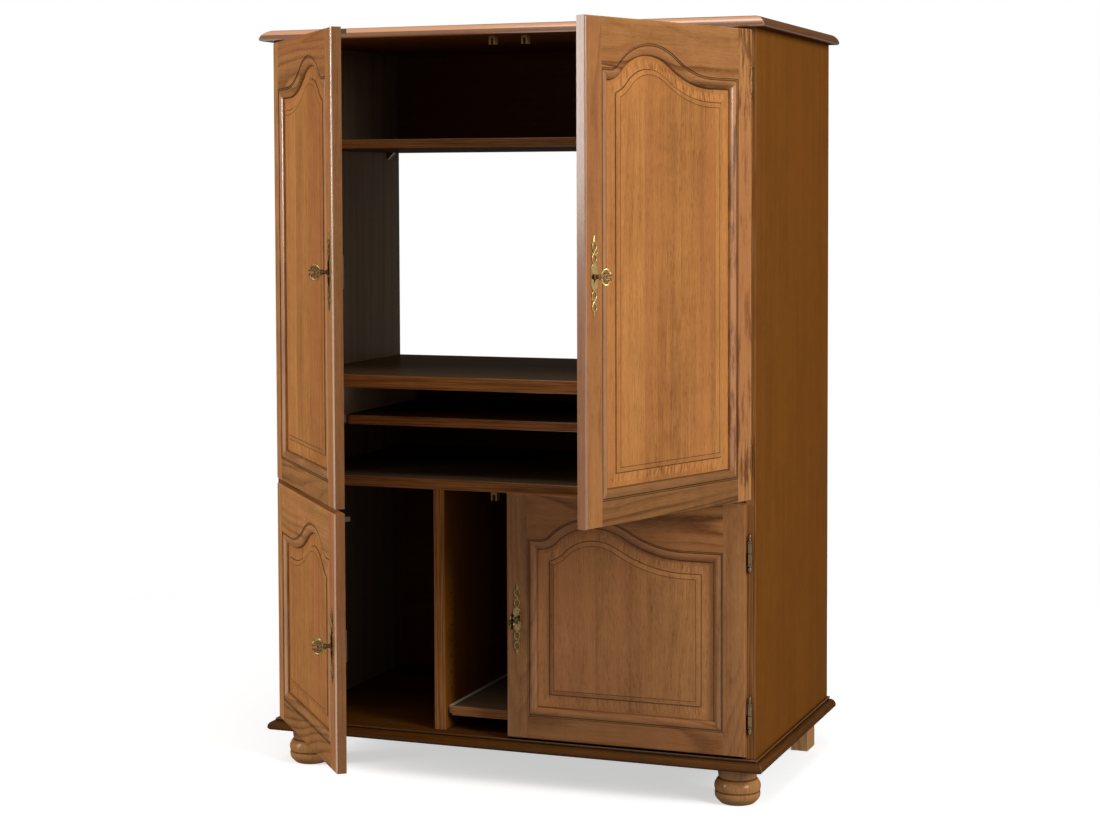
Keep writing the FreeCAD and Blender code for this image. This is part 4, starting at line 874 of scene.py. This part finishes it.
# One arm of scroll work, up or down from the plate.
def scrollArm(way):
    wire = escutcheon["wire"]
    rings, cross, curl, eye, knobs, leaf = [escutcheon[part] for part in
                                            ("rings", "cross", "curl", "eye", "knobs", "leaf")]
    near, far = [way * spacing for spacing in rings["spacing"]]
    middle = (near + far) / 2
    parts = [bentRod((0, centre), rings["radius"], wire, 0, 360, rings["tall"], rings["flat"])
             for centre in (near, far)]
    for side in (1, -1):
        parts.append(rod((side * cross["aside"], near + way * cross["start"]),
                         (-side * cross["aside"], far - way * cross["start"]), wire, wire))
        parts.append(bentRod((side * curl["aside"], middle), curl["radius"], curl["wire"], 90,
                             90 + side * curl["sweep"], curl["tall"], curl["flat"]))
        parts.append(bentRod((side * eye["aside"], near + way * eye["start"]), eye["radius"], eye["wire"],
                             0, 360, 1.0, eye["flat"]))
    parts.append(ball((0, middle), knobs["middle"], knobs["flat"]))
    parts.append(ball((0, far + way * knobs["start"]), knobs["end"], knobs["flat"]))
    blade = rod((0, far + way * leaf["start"]), (0, way * leaf["tip"]), leaf["thick"], leaf["thin"])
    bmesh.ops.scale(blade, verts=blade.verts, vec=(1, 1, leaf["flat"]))
    return parts + [blade]


def addEscutcheon(door, placement, hand, level, brass):
    work = bmesh.new()
    work.faces.layers.float.new("recess")
    setDown(work, patinaAndShade(keyholePlate(), *escutcheon["platePatinaAndShade"]), Matrix())
    lift = Matrix.Translation((0, 0, escutcheon["lift"] / 1000))
    for part in scrollArm(1) + scrollArm(-1):
        setDown(work, patinaAndShade(part, *escutcheon["scrollPatinaAndShade"]), lift)
    seat = placement @ Matrix.Translation((hand * keyPlace["backset"], -keyPlace["front"], level))
    seat = seat @ Matrix.Rotation(math.pi / 2, 4, "X")
    bmesh.ops.transform(work, matrix=seat, verts=work.verts)
    addPiece(door + "_scrollPlate", smoothMesh("scrollPlate", work, fittingSharp), door + "_door",
             brass, door + "_escutcheon")


key = {
    "shank": [(0, -14.3), (2.6, -14.3), (2.98, -13.7), (2.98, 11.6), (4.6, 12.4), (4.9, 13.2), (4.6, 14.0),
              (3.4, 14.8), (3.3, 20.2), (4.2, 21.0), (5.2, 22.2), (5.2, 23.4), (4.0, 24.6), (3.6, 25.6),
              (0, 27.0)],
    "bit": ((-3.6, -8, -1.2), (-1.2, 0, 1.2)), "steps": 24,
    "bow": {"middle": 36.4, "radius": 9.8, "tall": 1.40, "wire": 1.65, "mouth": 17.0},  # the mouth in degrees
    # ornament in the bow: places and its own radii as shares of the bow's radius, the rest in millimetres
    "lip": {"inset": 0.9, "stop": 0.13, "narrowing": 0.92, "thick": 1.6, "thin": 1.4},
    "knob": {"inset": 0.6, "radius": 2.3, "flat": 0.8},
    "scroll": {"along": -0.2, "across": 0.66, "radius": 0.35, "wire": 1.1, "tall": 1.1},
    "curl": {"along": 0.28, "across": 0.78, "radius": 0.25, "wire": 0.9, "sweep": (-90, 190)},
    "eye": (1.4, 0.9), "centre": (2.0, 0.8),
    "spoke": {"start": -0.95, "stop": -0.28, "across": 0.34, "thick": 1.6, "thin": 1.1},
    "shankPatinaAndShade": (0.75, 0.1), "rimPatinaAndShade": (0.45, 0.7), "scrollPatinaAndShade": (1.0, 0.4),
}
# key x points out of the door and key y upwards
keyTurn = Matrix(((0, 0, -1, 0), (-1, 0, 0, 0), (0, 1, 0, 0), (0, 0, 0, 1)))


# One half of the ornament inside the bow.
def bowScrolls(side):
    middle, radius, tall, mouth = [key["bow"][part] for part in ("middle", "radius", "tall", "mouth")]
    lip, knob, scroll, curl, spoke = [key[part] for part in ("lip", "knob", "scroll", "curl", "spoke")]

    def spot(along, across):
        return (middle + along * radius, side * across * radius)

    end = side * radius * tall * math.sin(math.radians(mouth))
    inside = (middle + lip["stop"] * radius, end * lip["narrowing"])
    eye = spot(scroll["along"], scroll["across"])
    return [
        rod((middle + radius - lip["inset"], end), inside, lip["thick"], lip["thin"]),
        ball((middle + radius - knob["inset"], end), knob["radius"], knob["flat"]),
        bentRod(eye, scroll["radius"] * radius, scroll["wire"], 0, 360, scroll["tall"]),
        bentRod(spot(curl["along"], curl["across"]), curl["radius"] * radius, curl["wire"], *curl["sweep"]),
        ball(eye, *key["eye"]),
        rod(spot(spoke["start"], 0), spot(spoke["stop"], spoke["across"]), spoke["thick"], spoke["thin"]),
    ]


def addKey(door, placement, hand, level, brass):
    work = bmesh.new()
    work.faces.layers.float.new("recess")
    shank = patinaAndShade(turned(key["shank"], key["steps"]), *key["shankPatinaAndShade"])
    setDown(work, shank, Matrix.Rotation(math.pi / 2, 4, "Y"))
    bow = key["bow"]
    middle, mouth = (bow["middle"], 0), bow["mouth"]
    rim = bentRod(middle, bow["radius"], bow["wire"], mouth, 360 - mouth, bow["tall"])
    setDown(work, patinaAndShade(rim, *key["rimPatinaAndShade"]), Matrix())
    for part in bowScrolls(1) + bowScrolls(-1) + [ball(middle, *key["centre"])]:
        setDown(work, patinaAndShade(part, *key["scrollPatinaAndShade"]), Matrix())
    setDown(work, box(*key["bit"]), Matrix())
    seat = placement @ Matrix.Translation((hand * keyPlace["backset"], 0, level)) @ keyTurn
    bmesh.ops.transform(work, matrix=seat, verts=work.verts)
    addPiece(door + "_scrollKey", smoothMesh("scrollKey", work, fittingSharp), door + "_key",
             brass, door + "_key")


brassLook = {"bright": tone(180, 152, 100), "worn": tone(38, 28, 14), "roughness": 0.24}
# each door's brass is darkened by its own share, a painted shade for doors that stand in less light
for door, stand in doors.items():
    brass = metal(door + "_brass", dimmed(brassLook["bright"], stand["brass"]), brassLook["worn"],
                  brassLook["roughness"])
    keyLevel = keyPlace["levels"][door.split("_")[0]]
    addEscutcheon(door, doorFrame(stand), stand["hand"], keyLevel, brass)
    addKey(door, doorFrame(stand), stand["hand"], keyLevel, brass)
print("brass work made")

plainFittings = ["cabinet_runners", "keyboard_tray_runners", "printer_tray_runners", "door_catches",
                 "shelf_supports"]
fittingEase = 0.0003
for door in doors:
    plainFittings += [door + "_lock_and_strike", door + "_lock_bolt"]
for nodeName in plainFittings:
    eased(nodeName, finishes[slotOf[nodeName]], fittingEase)
print("plain fittings dressed:", len(plainFittings))


# camera, floor and light

camera = {  # place in metres, angles in degrees, focal length in pixels of the image
    "place": (1.635585, -4.642322, 1.17724),
    "yaw": 20.768, "pitch": 2.866, "roll": 0.193,
    "focalPixels": 2246.222, "imageWidth": 1100,
    "shiftY": -0.10, "sensorWidth": 36.0, "clipEnd": 50.0,
}


def addCamera():
    yaw, pitch, roll = [math.radians(camera[angle]) for angle in ("yaw", "pitch", "roll")]
    forward = Vector((-math.sin(yaw) * math.cos(pitch), math.cos(yaw) * math.cos(pitch), -math.sin(pitch)))
    right = Vector((math.cos(yaw), math.sin(yaw), 0.0))
    down = forward.cross(right)
    axisX = right * math.cos(roll) + down * math.sin(roll)
    axisY = right * math.sin(roll) - down * math.cos(roll)
    data = bpy.data.cameras.new("photoCamera")
    data.sensor_width = camera["sensorWidth"]
    data.lens = camera["focalPixels"] / camera["imageWidth"] * data.sensor_width
    data.shift_y = camera["shiftY"]
    data.clip_end = camera["clipEnd"]
    eye = addObject("photoCamera", data)
    turn = Matrix((axisX, axisY, -forward)).transposed().to_4x4()
    eye.matrix_world = Matrix.Translation(Vector(camera["place"])) @ turn
    bpy.context.scene.camera = eye


lamps = {  # place, aim, width and height in metres, and power in watts
    "rightSoftbox": ((4.5, -2.4, 2.7), (0.3, -0.6, 1.1), (1.4, 2.4), 175.0),
    "leftSoftbox": ((-4.2, -3.5, 2.3), (-0.3, -0.6, 0.9), (1.0, 2.6), 140.0),
    "topSoftbox": ((0.2, -1.2, 4.4), (0.0, -0.5, 0.8), (2.4, 2.4), 40.0),
}


def addLamps():
    for name, (place, aim, size, power) in lamps.items():
        data = bpy.data.lights.new(name, "AREA")
        data.shape = "RECTANGLE"
        data.size, data.size_y = size
        data.energy = power
        lamp = addObject(name, data)
        lamp.location = place
        lamp.rotation_euler = (Vector(aim) - Vector(place)).to_track_quat("-Z", "Y").to_euler()


skyLevel = 0.20  # what the white surroundings add to the lamps


def addSky():
    world = bpy.data.worlds.new("studio")
    bpy.context.scene.world = world
    sky = Graph(world)
    glow = sky.node("ShaderNodeBackground", None, {"Color": (1, 1, 1, 1), "Strength": sky.seen(skyLevel)})
    sky.node("ShaderNodeOutputWorld", None, {"Surface": glow})


# the paper is paler where it is seen than where it only lights the wood, and clears with the distance
floorLook = {"seen": (0.93, 0.93, 0.93, 1), "mottled": (0.9, 0.9, 0.9, 1), "unseen": (0.25, 0.25, 0.25, 1),
             "lift": (0.56, 0.56, 0.56, 1), "mottle": (3, 3, 3), "mottleShare": 0.1,
             "half": 4.0, "middle": (0, -0.4, 0), "drop": 0.0005, "clear": (1.5, 2.6)}


def addFloor():
    work = bmesh.new()
    bmesh.ops.create_grid(work, x_segments=1, y_segments=1, size=floorLook["half"])
    x, y, z = floorLook["middle"]
    bmesh.ops.translate(work, verts=work.verts, vec=(x, y, z - floorLook["drop"]))
    mesh = bpy.data.meshes.new("floor")
    work.to_mesh(mesh)
    work.free()
    floor = addObject("floor", mesh)
    paint = Paint("palePaper", Roughness=0.9, Specular_IOR_Level=0.0, Emission_Strength=1.0)
    place = paint.place()
    seen = paint.seen(0.0)
    mottle = paint.noise(place, floorLook["mottle"]) * floorLook["mottleShare"]
    paper = paint.blend(mottle, floorLook["seen"], floorLook["mottled"])
    paint.feed("Base Color", paint.blend(seen, floorLook["unseen"], paper))
    distance = paint.node("ShaderNodeVectorMath", {"operation": "DISTANCE"},
                          {0: place, 1: floorLook["middle"]}, 1)
    paint.feed("Alpha", 1 - paint.step(distance, *floorLook["clear"]))
    paint.feed("Emission Color", paint.blend(seen, (0, 0, 0, 1), floorLook["lift"]))
    mesh.materials.append(paint.material)


addCamera()
addLamps()
addSky()
addFloor()
bpy.context.scene.view_settings.view_transform = "Standard"
print("camera, lamps and floor set")
